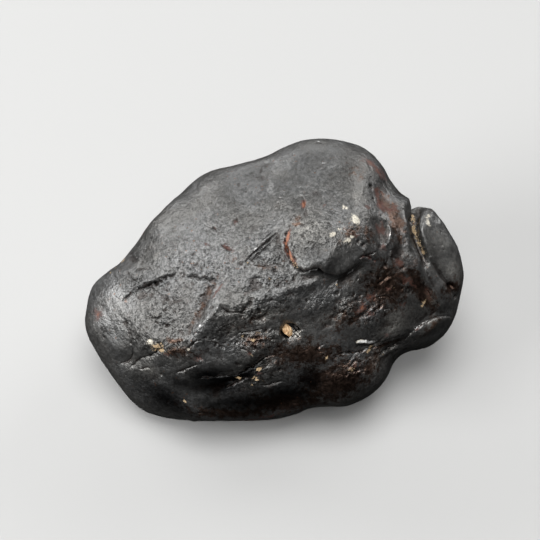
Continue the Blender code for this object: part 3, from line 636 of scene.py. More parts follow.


# The painted patches: red-brown rust, brown stain that in places is painted shade as well, tan dirt,
# cream chalk, painted shade, painted light laid as a pale dusty film, smooth skin, and painted glints on the
# lips, laid as bright bare metal. Each has lines and spots: (half width, strength, path) and (strength,
# place, half width, half height, turn).
RUST = (
    [
        (0.42, 1.5, [(2.9, 9.2), (2.5, 8.3), (2.2, 7.2), (2.2, 6.2), (2.6, 5.0), (3.0, 4.0), (3.6, 3.2)]),
        (0.38, 1.2, [(4.7, 13.2), (4.7, 12.4), (4.6, 11.6)]),
        (0.24, 0.8, [(-7.0, 1.4), (-7.6, 0.4), (-8.4, -1.0), (-8.9, -2.2)]),
        (1.00, 0.85, [(12.8, 19.4), (14.2, 18.6), (15.6, 17.4), (17.0, 15.8)]),
        (0.30, 0.8, [(12.8, 4.4), (13.6, 4.8), (14.6, 4.4), (15.3, 3.8)]),
        (0.30, 0.6, [(20.6, -6.6), (21.2, -6.0), (22.6, -5.0)]),
        (0.60, 0.7, [(-13.0, -19.0), (-8.0, -19.4), (-3.0, -19.4), (2.0, -18.0)]),
        (0.50, 0.6, [(22.0, 0.4), (22.8, -0.8), (23.6, -2.2)]),
    ],
    [
        (0.85, (15.9, 12.2), 1.3, 1.0),
        (0.75, (15.4, 13.9), 1.3, 0.8, -30),
        (0.70, (17.6, 11.6), 0.8, 1.6, 15),
        (0.70, (14.1, 12.0), 0.6, 0.6),
        (0.80, (15.9, 8.9), 1.0, 1.1, -20),
        (0.80, (16.3, 6.0), 0.8, 0.6, 30),
        (0.95, (14.6, -1.2), 1.1, 0.6),
        (0.95, (13.2, -2.7), 1.2, 0.6, 20),
        (1.00, (14.4, -3.7), 0.5, 0.5),
        (0.70, (18.6, 3.6), 1.2, 0.8, -20),
        (0.70, (20.0, 1.2), 0.8, 1.8, 30),
        (0.60, (17.0, -0.2), 0.7, 0.5),
        (0.60, (19.2, -2.4), 0.8, 0.5),
        (0.85, (-25.6, -3.8), 1.2, 0.9, 20),
        (0.85, (-6.4, 5.9), 0.75, 0.40),
        (0.80, (-8.4, 8.9), 0.6, 0.3, -15),
        (0.60, (-5.4, 9.7), 0.55, 0.5),
        (0.70, (-9.6, 6.6), 0.4, 0.3),
        (0.70, (-10.8, -10.4), 0.8, 0.5),
        (1.00, (-3.2, -9.5), 0.36, 0.36),
        (0.80, (-2.0, -12.6), 0.4, 0.3, 30),
        (0.60, (-3.8, -2.9), 0.3, 0.3),
        (0.60, (-8.6, -3.9), 0.3, 0.3),
        (0.60, (-18.0, 11.6), 0.8, 0.4, 40),
        (0.60, (-15.6, -9.6), 0.9, 0.5, 30),
        (0.55, (-20.6, 9.2), 1.4, 0.5, 50),
        (0.60, (12.6, 8.0), 0.6, 0.5),
        (0.60, (7.6, 12.2), 0.5, 0.3),
        (0.70, (16.8, -7.0), 0.8, 0.4, 15),
        (0.60, (12.6, -11.4), 0.9, 0.5, -20),
        (0.90, (0.3, 1.0, 0.3), 1.8, 0.9, 20),
        (0.80, (-0.5, 0.9, 0.1), 1.3, 0.7, -20),
        (0.90, (-0.1, 1.0, -0.2), 0.9, 0.6),
        (0.80, (-0.9, 0.4, -0.1), 0.9, 0.6),
        (0.80, (0.8, 0.6, -0.1), 1.1, 0.6, 30),
    ],
)
# Brown stains. Where they lie on bright slopes and on the underside, they darken them as painted shade too.
STAIN_AND_SHADE = (
    [
        (0.95, 0.55, [(-7.6, 2.6), (-8.6, 0.6), (-9.6, -1.2), (-10.5, -3.2), (-11.8, -5.4), (-12.6, -7.2)]),
        (0.50, 0.8, [(-15.8, -7.4), (-14.4, -7.8), (-13.0, -7.5)]),
        (0.45, 0.7, [(-3.6, 3.8), (-1.0, 3.2), (2.0, 3.2)]),
        (0.70, 0.7, [(2.6, 10.2), (3.6, 9.6), (4.2, 11.0)]),
        (1.60, 1.0, [(19.6, 3.4), (21.2, 0.6), (23.0, -1.8), (24.2, -3.4)]),
        (0.80, 0.9, [(14.6, -8.6), (16.6, -8.2), (19.6, -7.4)]),
        (1.70, 0.9, [(15.0, 15.4), (16.6, 13.0), (18.0, 10.4), (18.8, 8.0), (18.8, 6.0)]),
    ],
    [
        (0.8, (-2.4, -7.6), 2.6, 1.5, 10),
        (1.0, (5.0, -9.6), 6.0, 2.4, -5),
        (1.1, (9.6, -14.0), 6.0, 3.6, 20),
        (0.8, (14.6, -11.4), 4.0, 2.4, 30),
        (0.7, (11.6, 8.4), 2.6, 1.2),
        (0.7, (14.2, 8.0), 1.6, 2.2),
        (1.0, (17.0, 0.4), 5.0, 4.0),
        (0.6, (12.0, -4.0), 6.0, 3.0),
        (0.8, (-13.6, -9.4), 3.0, 1.2, 15),
        (0.6, (-19.6, 9.6), 2.2, 1.0, 45),
        (1.0, (1.6, -16.4), 7.0, 2.6),
        (0.9, (-6.0, -18.6), 9.0, 1.2),
        (0.8, (26.0, 0.0), 1.6, 3.0, 30),
        (0.8, (23.5, -5.8), 2.4, 1.2, 25),
        (0.4, (-5.4, 4.4), 2.6, 1.0, 20),
        (0.5, (12.6, 17.6), 2.6, 2.2, -30),
        (0.5, (-2.6, -4.6), 4.0, 1.4, 10),
        (0.8, (0.15, 1.0, 0.1), 6.0, 3.0, 10),
        (0.7, (-0.7, 0.7, 0.2), 4.0, 3.0),
        (0.8, (-1.0, 0.1, -0.1), 3.0, 4.0),
        (0.8, (0.9, 0.4, -0.1), 3.0, 4.0),
    ],
)
DIRT = (
    [
        (0.40, 1.0, [(20.7, 11.0), (20.6, 9.8), (20.7, 8.6), (21.0, 7.4)]),
        (0.22, 0.8, [(21.5, 7.0), (21.9, 6.0), (22.4, 4.8)]),
        (0.16, 0.7, [(-21.4, 4.6), (-21.8, 4.1), (-22.4, 3.6)]),
        (0.14, 0.7, [(3.2, 3.9), (3.5, 3.4), (3.9, 3.0)]),
    ],
    [
        (0.8, (-17.0, -8.5), 1.0, 0.5, 35),
        (0.9, (-16.3, -9.1), 0.9, 0.35, 20),
        (0.7, (-23.2, 2.9), 0.25, 0.2),
        (0.7, (-23.8, 2.3), 0.25, 0.2),
        (0.8, (-3.6, 3.8), 0.3, 0.18),
        (0.7, (-4.3, -7.1), 0.36, 0.22, 10),
        (0.5, (-1.6, -6.5), 0.9, 0.20, 5),
        (0.45, (-2.8, -7.6), 0.6, 0.25, 10),
        (0.8, (-2.9, -9.9), 0.3, 0.2),
        (0.8, (7.9, -10.3), 0.26, 0.24),
        (0.8, (-5.0, -13.1), 0.45, 0.22),
        (0.8, (-2.9, -14.2), 0.24, 0.4),
        (0.8, (-12.7, -16.6), 0.4, 0.2),
        (0.7, (-1.9, -11.9), 0.6, 0.25, 20),
        (0.6, (-2.4, -13.2), 0.7, 0.3),
        (0.6, (14.2, -9.2), 0.6, 0.4, 20),
        (0.6, (16.4, -9.6), 0.35, 0.3),
        (0.6, (11.6, -12.2), 0.6, 0.4, -30),
        (0.5, (22.4, -2.4), 0.7, 0.5),
        (0.6, (18.0, 0.2), 0.3, 0.2),
        (0.6, (9.4, 0.7), 0.16, 0.16),
        (0.5, (1.0, 1.4), 0.25, 0.2),
        (0.6, (-0.4, 1.6), 0.22, 0.18),
        (0.5, (-24.0, 11.0), 0.3, 0.3),
        (0.5, (-16.9, 12.2), 0.3, 0.3),
        (0.8, (0.22, 1.0, 0.05), 0.9, 0.35, 20),
        (0.8, (-0.3, 1.0, 0.3), 0.5, 0.3),
        (0.8, (-0.9, 0.5, -0.1), 0.5, 0.35),
        (0.7, (-0.6, 0.8, 0.15), 0.4, 0.3),
    ],
)
CHALK = (
    [
        # This line makes the white lip brighter: a painted highlight, in chalk's colours.
        (0.28, 1.4, [(12.3, -7.95), (12.9, -7.85), (13.5, -7.85), (14.1, -7.95)]),
    ],
    [
        (1.0, (12.15, 10.2), 0.80, 0.42, 35),
        (1.0, (12.3, 10.4), 0.42, 0.75, 10),
        (0.8, (12.9, 9.8), 0.35, 0.22, -20),
        (0.9, (11.1, 7.2), 0.65, 0.40, -10),
        (0.7, (11.7, 7.6), 0.30, 0.25),
        (0.8, (9.2, 8.1), 0.65, 0.30, 20),
        (0.7, (9.9, 8.8), 0.45, 0.26, -30),
        (0.8, (10.4, 12.1), 0.60, 0.22, -10),
        (0.6, (11.1, 11.9), 0.30, 0.22),
        (0.7, (22.9, 9.8), 0.55, 0.7, -40),
        (0.6, (23.2, 10.6), 0.30, 0.3),
        (0.4, (-9.4, 14.6), 0.9, 0.20, 25),
        (1.0, (-17.9, -7.8), 0.90, 0.36, 40),
        (0.7, (-17.2, -8.1), 0.45, 0.25, 20),
        (0.7, (-12.3, -8.9), 0.30, 0.26),
        (0.5, (16.6, 10.3), 0.6, 0.3, 20),
        (0.5, (-21.9, 4.2), 0.7, 0.25, 50),
    ],
)
# Painted shade: darker skin where shade falls, on the underside, in the low valley, along the left crease
# and under the knob, and on sides that face away from the lamps.
PAINTED_SHADE = (
    [
        (1.3, 1.0, [
            (-11.4, -13.4), (-9.0, -13.6), (-7.0, -13.6),
            (-4.6, -13.0), (-2.8, -11.6), (-0.6, -10.6),
        ]),
        (0.40, 0.6, [(-20.0, -0.5), (-18.9, 0.1), (-17.8, 0.6), (-16.6, 0.9), (-15.4, 1.4)]),
        (0.40, 0.7, [(4.4, 2.8), (5.6, 2.5), (6.8, 2.8), (7.8, 2.3), (9.2, 1.9)]),
    ],
    [
        (0.85, (-5.0, -16.8), 8.5, 2.6, 3),
        (1.00, (-7.6, -14.2), 5.4, 2.2, 5),
        (1.00, (-9.4, -12.9), 3.4, 1.6, 8),
        (0.85, (-15.6, -16.2), 5.4, 3.2, -15),
        (0.60, (-14.0, -13.8), 4.0, 1.8),
        (0.85, (2.0, -15.6), 5.0, 2.6),
        (0.75, (5.4, -13.6), 2.4, 2.0),
        (0.30, (10.0, -14.4), 3.6, 1.8, 20),
        (0.35, (18.4, 9.0), 1.5, 4.0, 10),
        (0.40, (18.6, 5.2), 1.6, 1.2),
        (0.45, (-23.0, -8.6), 2.0, 1.8),
        (0.60, (7.0, 4.9), 2.6, 1.3, 5),
        (0.15, (9.6, 4.2), 3.0, 1.4, 12),
        (0.25, (-8.3, 1.4), 1.0, 0.8),
        (0.30, (-7.0, -3.8), 1.8, 1.0, 25),
        (0.30, (13.0, 17.4), 2.2, 2.2, -30),
        (0.40, (-20.8, 0.9), 2.4, 1.6, 20),
        (0.30, (16.6, 15.0), 1.4, 2.0, -30),
    ],
)
# Painted light: pale, rougher, less metallic patches that lighten sides facing away from the lamps, and one
# bright streak on the crown, laid as a pale dusty film.
PAINTED_LIGHT = (
    [],
    [
        (1.0, (18.2, -5.2), 2.4, 1.8, 10),
        (0.7, (-0.4, -3.8), 4.0, 1.3, 15),
        (0.6, (-5.6, -5.8), 2.6, 1.0, 20),
        (0.9, (-17.6, -12.2), 1.8, 1.1, 10),
        (1.0, (15.4, -10.6), 2.8, 1.8, 30),
        (1.0, (15.9, 8.8), 1.0, 1.0, -20),
        (1.0, (26.2, 2.8), 2.0, 2.8, 30),
        (0.7, (25.0, 7.0), 2.2, 3.0, 10),
        (0.9, (23.6, -5.6), 2.2, 0.9, 25),
        (0.7, (22.8, -1.4), 1.2, 1.8, 30),
        (0.5, (8.4, -4.2), 3.0, 1.4, 10),
        (0.6, (4.8, 8.8), 1.8, 2.6),
        (0.5, (12.9, 13.8), 0.9, 2.2, 8),
        (0.5, (16.8, -8.8), 2.4, 0.9, 15),
    ],
)
SMOOTH = (
    [],
    [
        (1.0, (25.4, 6.0), 2.8, 5.0, 10),
        (1.0, (24.0, -5.6), 2.4, 1.0, 25),
        (0.9, (-22.8, -8.5), 2.4, 2.2),
        (0.8, (9.8, 4.4), 3.0, 1.6, 10),
        (0.9, (-8.0, -16.4), 9.0, 3.0),
        (0.5, (5.0, 18.0), 7.0, 3.4, 10),
        (0.6, (9.6, -6.6), 4.0, 1.4),
    ],
)
# Painted glints: bright bare metal laid along lips, ridges and a rim, where highlights fall.
PAINTED_GLINTS = (
    [
        (0.24, 1.0, [(12.3, -7.85), (12.9, -7.9), (13.6, -7.8), (14.3, -7.9), (15.3, -7.7)]),
        (0.10, 1.0, [(8.7, 0.0), (9.1, 0.5), (9.7, 1.3)]),
        (0.10, 1.0, [(10.9, 1.95), (11.4, 2.35), (12.0, 2.8)]),
        (0.12, 0.45, [(-3.3, 4.9), (-2.4, 6.0), (-1.4, 7.0), (-0.4, 8.0)]),
        (0.12, 0.25, [(16.6, 10.1), (17.3, 8.8), (17.3, 7.6), (16.6, 6.4)]),
        (0.12, 0.45, [(-7.4, -1.7), (-8.6, -3.8), (-10.6, -5.6), (-11.8, -7.2)]),
        (0.12, 0.7, [(20.6, -6.4), (21.4, -5.7), (22.7, -4.9), (24.4, -4.3)]),
        (0.08, 0.5, [(6.3, 21.5), (6.9, 21.6), (7.6, 21.5)]),
    ],
    [],
)
PAINTED = {
    "rust": RUST,
    "stain_and_shade": STAIN_AND_SHADE,
    "dirt": DIRT,
    "chalk": CHALK,
    "painted_shade": PAINTED_SHADE,
    "painted_light": PAINTED_LIGHT,
    "smooth": SMOOTH,
    "painted_glint": PAINTED_GLINTS,
}

# A hollow counts as full where it lies this far below the skin about it, evened out in some rounds.
FULL_HOLLOW = 0.05
HOLLOW_ROUNDS = 10


def paint(skin):
    """Lays all that the finish reads on the skin: the patches, the cracks' grime and painted shade, and the
    hollows.
    """
    for name, (strokes, spots) in PAINTED.items():
        skin.paint(name, strokes, spots)
    skin.paint("grime_and_shade", skin.cracks, [])
    skin.paint("crinkled", [], CRINKLED)
    skin.keep("hollow", skin.hollows(HOLLOW_ROUNDS, FULL_HOLLOW))


# A grain is a ball that is cut flat at random shares of its radius, with blunt edges and a rough face. One
# larger than LARGE_GRAIN is divided more finely.
GRAIN_CUTS = 9
CUT_REACH = (0.62, 0.95)
BLUNTNESS = 10
GRAIN_ROUGHNESS = 0.06
LARGE_GRAIN = 0.5


def pebble(rng, size):
    """The points and the triangles of one small rough grain."""
    bpy.ops.object.select_all(action="DESELECT")
    bpy.ops.mesh.primitive_ico_sphere_add(subdivisions=3 if size > LARGE_GRAIN else 2, radius=1)
    thing = bpy.context.object
    mesh = thing.data
    points = np.array([vertex.co for vertex in mesh.vertices])
    faces = [tuple(polygon.vertices) for polygon in mesh.polygons]
    bpy.data.objects.remove(thing)
    bpy.data.meshes.remove(mesh)
    ways = unit(rng.normal(size=(GRAIN_CUTS, 3)))
    reach = rng.uniform(*CUT_REACH, GRAIN_CUTS)
    towards = np.maximum(points @ ways.T, 0) / reach
    points = points / ((towards**BLUNTNESS).sum(1) + 1)[:, None] ** (1 / BLUNTNESS)
    points += points * (GRAIN_ROUGHNESS * rng.normal(size=(len(points), 1)))
    return points * size, faces


def grains(name, skin, material, rows, seed):
    """One mesh of grains on the skin, from rows of (place, size, (width, height, depth), share sunk in)."""
    rng = np.random.default_rng(seed)
    points, faces = [], []
    for place, size, stretch, sunk in rows:
        number = skin.at(place)
        out = skin.outward[number]
        across = unit(np.cross((0, 0, 1), out))
        axes = np.stack([across, np.cross(out, across), out])
        grain, sides = pebble(rng, size)
        first = sum(len(part) for part in points)
        lift = out * (size * stretch[2] * (1 - sunk))
        points.append((grain * stretch) @ axes + skin.points[number] + lift)
        faces += [tuple(first + corner for corner in side) for side in sides]
    mesh = bpy.data.meshes.new(name)
    mesh.from_pydata(((np.vstack(points) + MIDDLE) * MM).tolist(), [], faces)
    thing = bpy.data.objects.new(name, mesh)
    bpy.context.scene.collection.objects.link(thing)
    mesh.materials.append(material)
    return thing


def strewn(rng, path, count, spread, low, high):
    """Rows for grains strewn along a line of places, with sizes from low to high."""
    corners = np.array(path, float)
    where = np.linspace(0, len(corners) - 1, 200)
    line = np.stack([np.interp(where, np.arange(len(corners)), corners[:, axis]) for axis in (0, 1)], 1)
    rows = []
    for _ in range(count):
        place = line[rng.integers(len(line))] + rng.normal(0, spread, 2)
        size = rng.uniform(low, high)
        rows.append((tuple(place), size, tuple(rng.uniform(0.7, 1.3, 3)), rng.uniform(0.6, 1.1)))
    return rows


# The grain and the grit in the front pit, one row a grain.
LODGED = [((1.98, -6.28), 0.90, (0.92, 1.12, 0.9), 0.10)]
PIT_GRIT = [
    ((3.1, -6.75), 0.28, (1.3, 0.7, 0.8), 0.3),
    ((3.5, -6.5), 0.24, (0.8, 1.4, 0.8), 0.3),
    ((3.9, -6.8), 0.22, (1.0, 1.0, 1.0), 0.3),
    ((2.8, -7.2), 0.24, (1.5, 0.7, 0.8), 0.4),
    ((3.4, -7.1), 0.22, (1.2, 0.8, 0.8), 0.4),
    ((4.2, -6.4), 0.20, (0.7, 1.3, 0.8), 0.3),
    ((3.2, -6.3), 0.18, (0.7, 1.4, 0.8), 0.3),
    ((3.8, -6.2), 0.16, (1.0, 1.0, 0.8), 0.3),
    ((2.9, -6.4), 0.16, (1.0, 1.0, 0.8), 0.3),
    ((4.1, -7.0), 0.16, (1.3, 0.8, 0.8), 0.3),
]

# Crumbs of dirt in the crevice and beside the knob: (line, how many, spread, smallest, largest).
CRUMBS = [
    ([(20.7, 10.8), (20.7, 9.6), (20.9, 8.4), (21.3, 7.4)], 70, 0.16, 0.05, 0.13),
    ([(21.4, 7.4), (21.9, 6.0), (22.5, 4.8)], 40, 0.2, 0.04, 0.10),
    ([(2.9, 4.4), (3.3, 3.6), (3.8, 3.1)], 14, 0.10, 0.04, 0.09),
]


def settle(skin, top):
    """Eases the skin down a little, where it has grown past the solid's top."""
    heights = skin.points[:, 2] + MIDDLE[2]
    skin.points[:, 2] = heights * min(1.0, top / heights.max()) - MIDDLE[2]


def stone_skin(node):
    """The whole skin, carved, thinned and painted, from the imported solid."""
    top = max(vertex.co.z for vertex in node.data.vertices) / MM
    thing = smooth_copy(node)
    skin = Skin(thing)
    carve(skin)
    skin.write()
    crinkle_group(thing, skin)
    rolling = cloudy_relief(ROLLING_SIZE)
    finish_with(thing, "DISPLACE", texture=rolling, strength=ROLLING_HEIGHT * MM, mid_level=0.5)
    crinkles = cloudy_relief(CRINKLE_SIZE, noise_depth=3, noise_basis="IMPROVED_PERLIN")
    finish_with(
        thing,
        "DISPLACE",
        texture=crinkles,
        strength=CRINKLE_HEIGHT * MM,
        mid_level=0.5,
        vertex_group="crinkled",
    )
    thing.vertex_groups.clear()
    finish_with(thing, "DECIMATE", ratio=TRIANGLES / len(skin.triangles))
    bpy.ops.object.shade_smooth()
    skin.read()
    settle(skin, top)
    skin.write()
    paint(skin)
    return skin


def small_pieces(skin):
    """What has lodged in the stone: a tan grain and grit in the front pit, and crumbs of dirt."""
    rng = np.random.default_rng(CRUMB_SEED)
    tan = grain_finish("tan_grain", TAN_SHADES, 0.4)
    sandy = grain_finish("sandy_dirt", SANDY_SHADES, 0.3)
    grey = grain_finish("grey_grit", GREY_SHADES, 0.2)
    crumbs = [row for line in CRUMBS for row in strewn(rng, *line)]
    return [
        grains("lodged_grain", skin, tan, LODGED, seed=3),
        grains("pit_grit", skin, grey, PIT_GRIT, seed=4),
        grains("crevice_dirt", skin, sandy, crumbs, seed=6),
    ]


class Value:
    """A shader node's output, which takes part in Python's arithmetic."""

    def __init__(self, finish, socket):
        self.finish = finish
        self.socket = socket

    def maths(self, operation, *values):
        """The output of a new Math node."""
        return self.finish.node("ShaderNodeMath", {"operation": operation}, dict(enumerate(values)))

    def __add__(self, other):
        return self.maths("ADD", self, other)

    def __sub__(self, other):
        return self.maths("SUBTRACT", self, other)

    def __rsub__(self, other):
        return self.maths("SUBTRACT", other, self)

    def __mul__(self, other):
        return self.maths("MULTIPLY", self, other)

    __radd__ = __add__
    __rmul__ = __mul__


class Finish:
    """A material that is built node by node."""

    def __init__(self, name):
        self.material = bpy.data.materials.new(name)
        self.material.use_nodes = True
        self.nodes = self.material.node_tree.nodes
        self.links = self.material.node_tree.links
        self.shader = self.nodes["Principled BSDF"]
        self.place = self.node("ShaderNodeTexCoord", {}, {}, "Object")

    def node(self, kind, settings, sockets, output=0):
        """A new node with its settings, and its sockets set or linked. It gives the chosen output."""
        made = self.nodes.new(kind)
        for name, value in settings.items():
            setattr(made, name, value)
        for name, value in sockets.items():
            self.feed(made.inputs[name], value)
        return Value(self, made.outputs[output])

    def feed(self, socket, value):
        """Links another node's output to a socket, or sets it to a colour or a number."""
        if isinstance(value, Value):
            self.links.new(value.socket, socket)
        elif isinstance(value, tuple) and socket.type == "RGBA":
            socket.default_value = (*value, 1)
        else:
            socket.default_value = value

    def set(self, **sockets):
        """Feeds the shader's sockets, whose names are written with _ for each space."""
        for name, value in sockets.items():
            self.feed(self.shader.inputs[name.replace("_", " ")], value)

    def noise(self, size, detail=3.0, rough=0.55, distortion=0.0):
        """Noise with forms of about that size in millimetres, from 0 to 1."""
        sockets = {"Vector": self.place, "Scale": 1 / (size * MM), "Detail": detail}
        sockets.update({"Roughness": rough, "Distortion": distortion})
        return self.node("ShaderNodeTexNoise", {}, sockets, "Fac")

    def ramp(self, value, low, high):
        """0 where the value is below low, 1 where it is above high, and smooth between."""
        sockets = {"Value": value, "From Min": low, "From Max": high}
        return self.node("ShaderNodeMapRange", {"interpolation_type": "SMOOTHSTEP"}, sockets)

    def painted(self, name):
        """The strength of a named patch, as it was laid on the skin."""
        return self.node("ShaderNodeAttribute", {"attribute_name": name}, {}, "Fac")

    def mixed(self, share, first, second):
        """A colour between the first and the second, nearer the second where the share is high."""
        sockets = {0: share, 6: first, 7: second}
        return self.node("ShaderNodeMix", {"data_type": "RGBA"}, sockets, 2)

    def shaded(self, colour, value):
        """A colour made darker or lighter by a value."""
        sockets = {0: 1.0, 6: colour, 7: value}
        return self.node("ShaderNodeMix", {"data_type": "RGBA", "blend_type": "MULTIPLY"}, sockets, 2)

    def bumps(self, heights):
        """Fine bumps, from their heights in millimetres."""
        sockets = {"Height": heights, "Distance": MM, "Strength": 1.0}
        return self.node("ShaderNodeBump", {}, sockets)


# The colours of the skin itself, and those it is multiplied by: white, the brown stain tint, which in places
# is painted shade as well, and the bluish black tint of the painted shade. The two darkest are painted
# shade: dark brown in the hollows, and near black in the cracks, where there is grime too.
WHITE = (1.0, 1.0, 1.0)
IRON_WARM = (0.120, 0.118, 0.113)
IRON_GREY = (0.150, 0.151, 0.150)
IRON_MOTTLE = (0.068, 0.055, 0.048)
BROWN_STAIN_AND_SHADE = (0.92, 0.58, 0.44)
PAINTED_SHADE_TINT = (0.040, 0.044, 0.054)
HOLLOW_SHADE_BROWN = (0.022, 0.014, 0.011)
CRACK_GRIME_AND_SHADE = (0.012, 0.008, 0.006)

# The colours of what lies on it, and of the painted light and the painted glints. A pair is the darker and
# the lighter shade of one thing.
PAINTED_LIGHT_GREY = (0.30, 0.29, 0.265)
RUST_SPECK = (0.17, 0.085, 0.050)
RUST_SHADES = ((0.088, 0.030, 0.021), (0.30, 0.120, 0.066))
DIRT_SHADES = ((0.26, 0.17, 0.09), (0.60, 0.46, 0.28))
CHALK_SHADES = ((0.40, 0.36, 0.29), (0.72, 0.68, 0.58))
GLINT_METAL = (0.72, 0.72, 0.71)
TAN_SHADES = ((0.36, 0.20, 0.09), (0.66, 0.47, 0.27))
SANDY_SHADES = ((0.20, 0.16, 0.11), (0.56, 0.42, 0.25))
GREY_SHADES = ((0.20, 0.19, 0.17), (0.66, 0.63, 0.57))


def skin_finish():
    """Dark satin iron, speckled where it is crinkled, with stains, rust, grime, dirt, painted shade in the
    hollows, cracks and shaded parts, painted light, and painted glints on the lips.
    """
    finish = Finish("iron_skin")
    cloudy = finish.noise(7.0, 3.0)
    lumps = finish.noise(1.5, 2.0)
    mottled = finish.noise(0.9, 4.0, 0.65)
    grainy = finish.noise(0.50, 2.0, 0.6, 0.3)
    fine = finish.noise(0.23, 2.0, 0.6)
    hollow = finish.painted("hollow")
    crinkled = finish.painted("crinkled")
    broken = finish.ramp(mottled * 0.7 + fine * 0.3, 0.36, 0.64)

    def patch(name, soft, reach=1.7):
        """A painted patch that breaks up towards its edge."""
        return finish.ramp(finish.painted(name) * reach - broken, 0.0, soft)

    rough = 1 - finish.painted("smooth") * 0.75
    painted_shade = finish.painted("painted_shade")
    stain_and_shade = patch("stain_and_shade", 0.9)
    colour = finish.mixed(finish.ramp(cloudy, 0.35, 0.65), IRON_WARM, IRON_GREY)
    colour = finish.mixed(finish.ramp(mottled, 0.50, 0.80) * rough * 0.5, colour, IRON_MOTTLE)
    # Painted light: the skin is lightened towards pale grey, as a dusty film.
    painted_light = finish.painted("painted_light") * (broken * 0.5 + 0.5)
    colour = finish.mixed(painted_light * 0.7, colour, PAINTED_LIGHT_GREY)
    speckle = (finish.ramp(grainy, 0.30, 0.72) - 0.44) * (crinkled * 0.9 + 0.36)
    speckle += (finish.ramp(fine, 0.30, 0.70) - 0.5) * (crinkled * 0.7 + 0.24)
    speckle += finish.ramp(lumps, 0.2, 0.8) * 0.3 - 0.15
    colour = finish.shaded(colour, speckle * rough + 1.0)
    # Brown stain, multiplied in, which in places is painted shade as well.
    colour = finish.shaded(colour, finish.mixed(stain_and_shade * 0.9, WHITE, BROWN_STAIN_AND_SHADE))
    # Painted shade: the shaded parts are multiplied towards bluish black.
    colour = finish.shaded(colour, finish.mixed(painted_shade, WHITE, PAINTED_SHADE_TINT))
    # Painted shade: the hollows are darkened towards dark brown.
    colour = finish.mixed(finish.ramp(hollow, 0.15, 0.9) * 0.6, colour, HOLLOW_SHADE_BROWN)
    specks = finish.ramp(finish.noise(0.60, 1.0), 0.70, 0.76) * finish.ramp(cloudy, 0.40, 0.60)
    colour = finish.mixed(specks * 0.6, colour, RUST_SPECK)
    # The cracks are darkened near black: grime, and painted shade in them.
    grime_and_shade = finish.ramp(finish.painted("grime_and_shade") * 1.5 - broken, 0.0, 0.5)
    colour = finish.mixed(grime_and_shade * 0.9, colour, CRACK_GRIME_AND_SHADE)
    rust = patch("rust", 0.6)
    orange = finish.ramp(finish.painted("rust") - broken * 0.35, 0.58, 0.90)
    colour = finish.mixed(rust * (orange * 0.25 + 0.65), colour, finish.mixed(orange, *RUST_SHADES))
    dirt = patch("dirt", 0.4)
    chalk = patch("chalk", 0.5, 1.6)
    painted_glint = patch("painted_glint", 0.4)
    colour = finish.mixed(dirt, colour, finish.mixed(fine, *DIRT_SHADES))
    colour = finish.mixed(chalk, colour, finish.mixed(finish.ramp(fine, 0.3, 0.6), *CHALK_SHADES))
    # Painted glints: bright bare metal along the lips.
    colour = finish.mixed(painted_glint * 0.85, colour, GLINT_METAL)
    dull = finish.ramp(dirt + chalk + rust * 0.5 + grime_and_shade * 0.8 + painted_light * 0.5, 0.0, 1.0)
    # Stained skin and painted shade turn more metallic, so that their reflections darken with their colour.
    stained_and_shaded = finish.ramp(painted_shade + stain_and_shade, 0.0, 1.0)
    metallic = (1 - dull) * (stained_and_shaded * 0.2 + 0.8)
    roughness = finish.ramp(grainy, 0.25, 0.75) * 0.14 + 0.33 + dull * 0.3
    heights = lumps * (crinkled * 0.45 + 0.12)
    heights += grainy * (crinkled * 0.28 + 0.07)
    heights += fine * (crinkled * 0.12 + 0.03)
    normal = finish.bumps(heights * rough)
    finish.set(Base_Color=colour, Metallic=metallic, Roughness=roughness, Normal=normal)
    return finish.material


def grain_finish(name, shades, size):
    """A dry mineral grain, mottled between two shades."""
    finish = Finish(name)
    mottled = finish.noise(size, 3.0)
    finish.set(
        Base_Color=finish.mixed(finish.ramp(mottled, 0.3, 0.7), *shades),
        Roughness=0.65,
        Normal=finish.bumps(mottled * 0.12),
    )
    return finish.material


# The floor, in metres, and the room's faint glow.
FLOOR_SIZE = 4
FLOOR_COLOUR = (0.46, 0.46, 0.455, 1)
FLOOR_ROUGHNESS = 0.9
ROOM_COLOUR = (0.9, 0.9, 0.9, 1)
ROOM_GLOW = 0.02

# The lights that face the stone: (name, place, size, power), in metres and watts.
LIGHTS = [
    ("ceiling", (0.0, 0.0, 0.9), 0.7, 7.2),
    ("left window", (-0.6, -0.2, 0.25), 0.4, 4.6),
    ("back left", (-0.5, 0.5, 0.3), 0.5, 2.9),
    ("back right", (0.5, 0.5, 0.3), 0.5, 2.6),
    ("back", (0.0, 0.7, 0.2), 0.5, 1.0),
    ("front", (0.0, -0.35, 0.7), 0.5, 1.4),
]


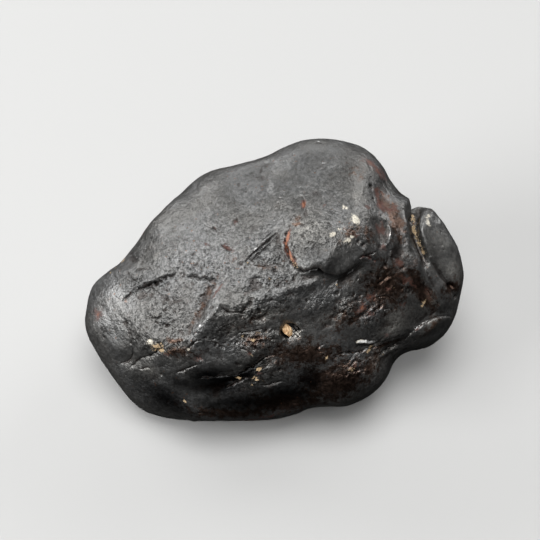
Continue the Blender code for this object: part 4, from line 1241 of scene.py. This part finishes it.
def pale_floor():
    """A plain floor, which the stone doesn't mirror."""
    bpy.ops.object.select_all(action="DESELECT")
    bpy.ops.mesh.primitive_plane_add(size=FLOOR_SIZE)
    floor = bpy.context.object
    floor.name = "floor"
    material = bpy.data.materials.new("pale_floor")
    material.use_nodes = True
    shader = material.node_tree.nodes["Principled BSDF"]
    shader.inputs["Base Color"].default_value = FLOOR_COLOUR
    shader.inputs["Roughness"].default_value = FLOOR_ROUGHNESS
    floor.data.materials.append(material)
    floor.visible_diffuse = False
    floor.visible_glossy = False


def soft_light(name, place, size, power):
    """A round light that faces the stone."""
    light = bpy.data.lights.new(name, "AREA")
    light.shape = "DISK"
    light.size = size
    light.energy = power
    thing = bpy.data.objects.new(name, light)
    thing.location = place
    thing.rotation_euler = (-Vector(place)).to_track_quat("-Z", "Y").to_euler()
    bpy.context.scene.collection.objects.link(thing)


def studio():
    """The pale floor, the soft lights and the room about them."""
    pale_floor()
    for light in LIGHTS:
        soft_light(*light)
    world = bpy.data.worlds.new("room")
    world.use_nodes = True
    background = world.node_tree.nodes["Background"]
    background.inputs["Color"].default_value = ROOM_COLOUR
    background.inputs["Strength"].default_value = ROOM_GLOW
    bpy.context.scene.world = world
    bpy.context.scene.view_settings.view_transform = "Standard"


def camera():
    """A long lens that looks down at the stone's face."""
    data = bpy.data.cameras.new("camera")
    data.sensor_width = SENSOR
    data.lens = SENSOR * DISTANCE / VIEW_WIDTH
    thing = bpy.data.objects.new("camera", data)
    bpy.context.scene.collection.objects.link(thing)
    place = MIDDLE + SEEN[0] * AIM[0] + SEEN[1] * AIM[1] + SEEN[2] * DISTANCE
    thing.location = Vector(place) * MM
    thing.rotation_euler = Vector(SEEN[2]).to_track_quat("Z", "Y").to_euler()
    bpy.context.scene.camera = thing


def main():
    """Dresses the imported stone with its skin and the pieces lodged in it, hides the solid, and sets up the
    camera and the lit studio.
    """
    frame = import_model()
    skin = stone_skin(frame["nodes"][STONE])
    skin.thing.data.materials.clear()
    skin.thing.data.materials.append(skin_finish())
    for piece in [skin.thing, *small_pieces(skin)]:
        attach(piece, "root")
    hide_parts(STONE)
    camera()
    studio()


main()
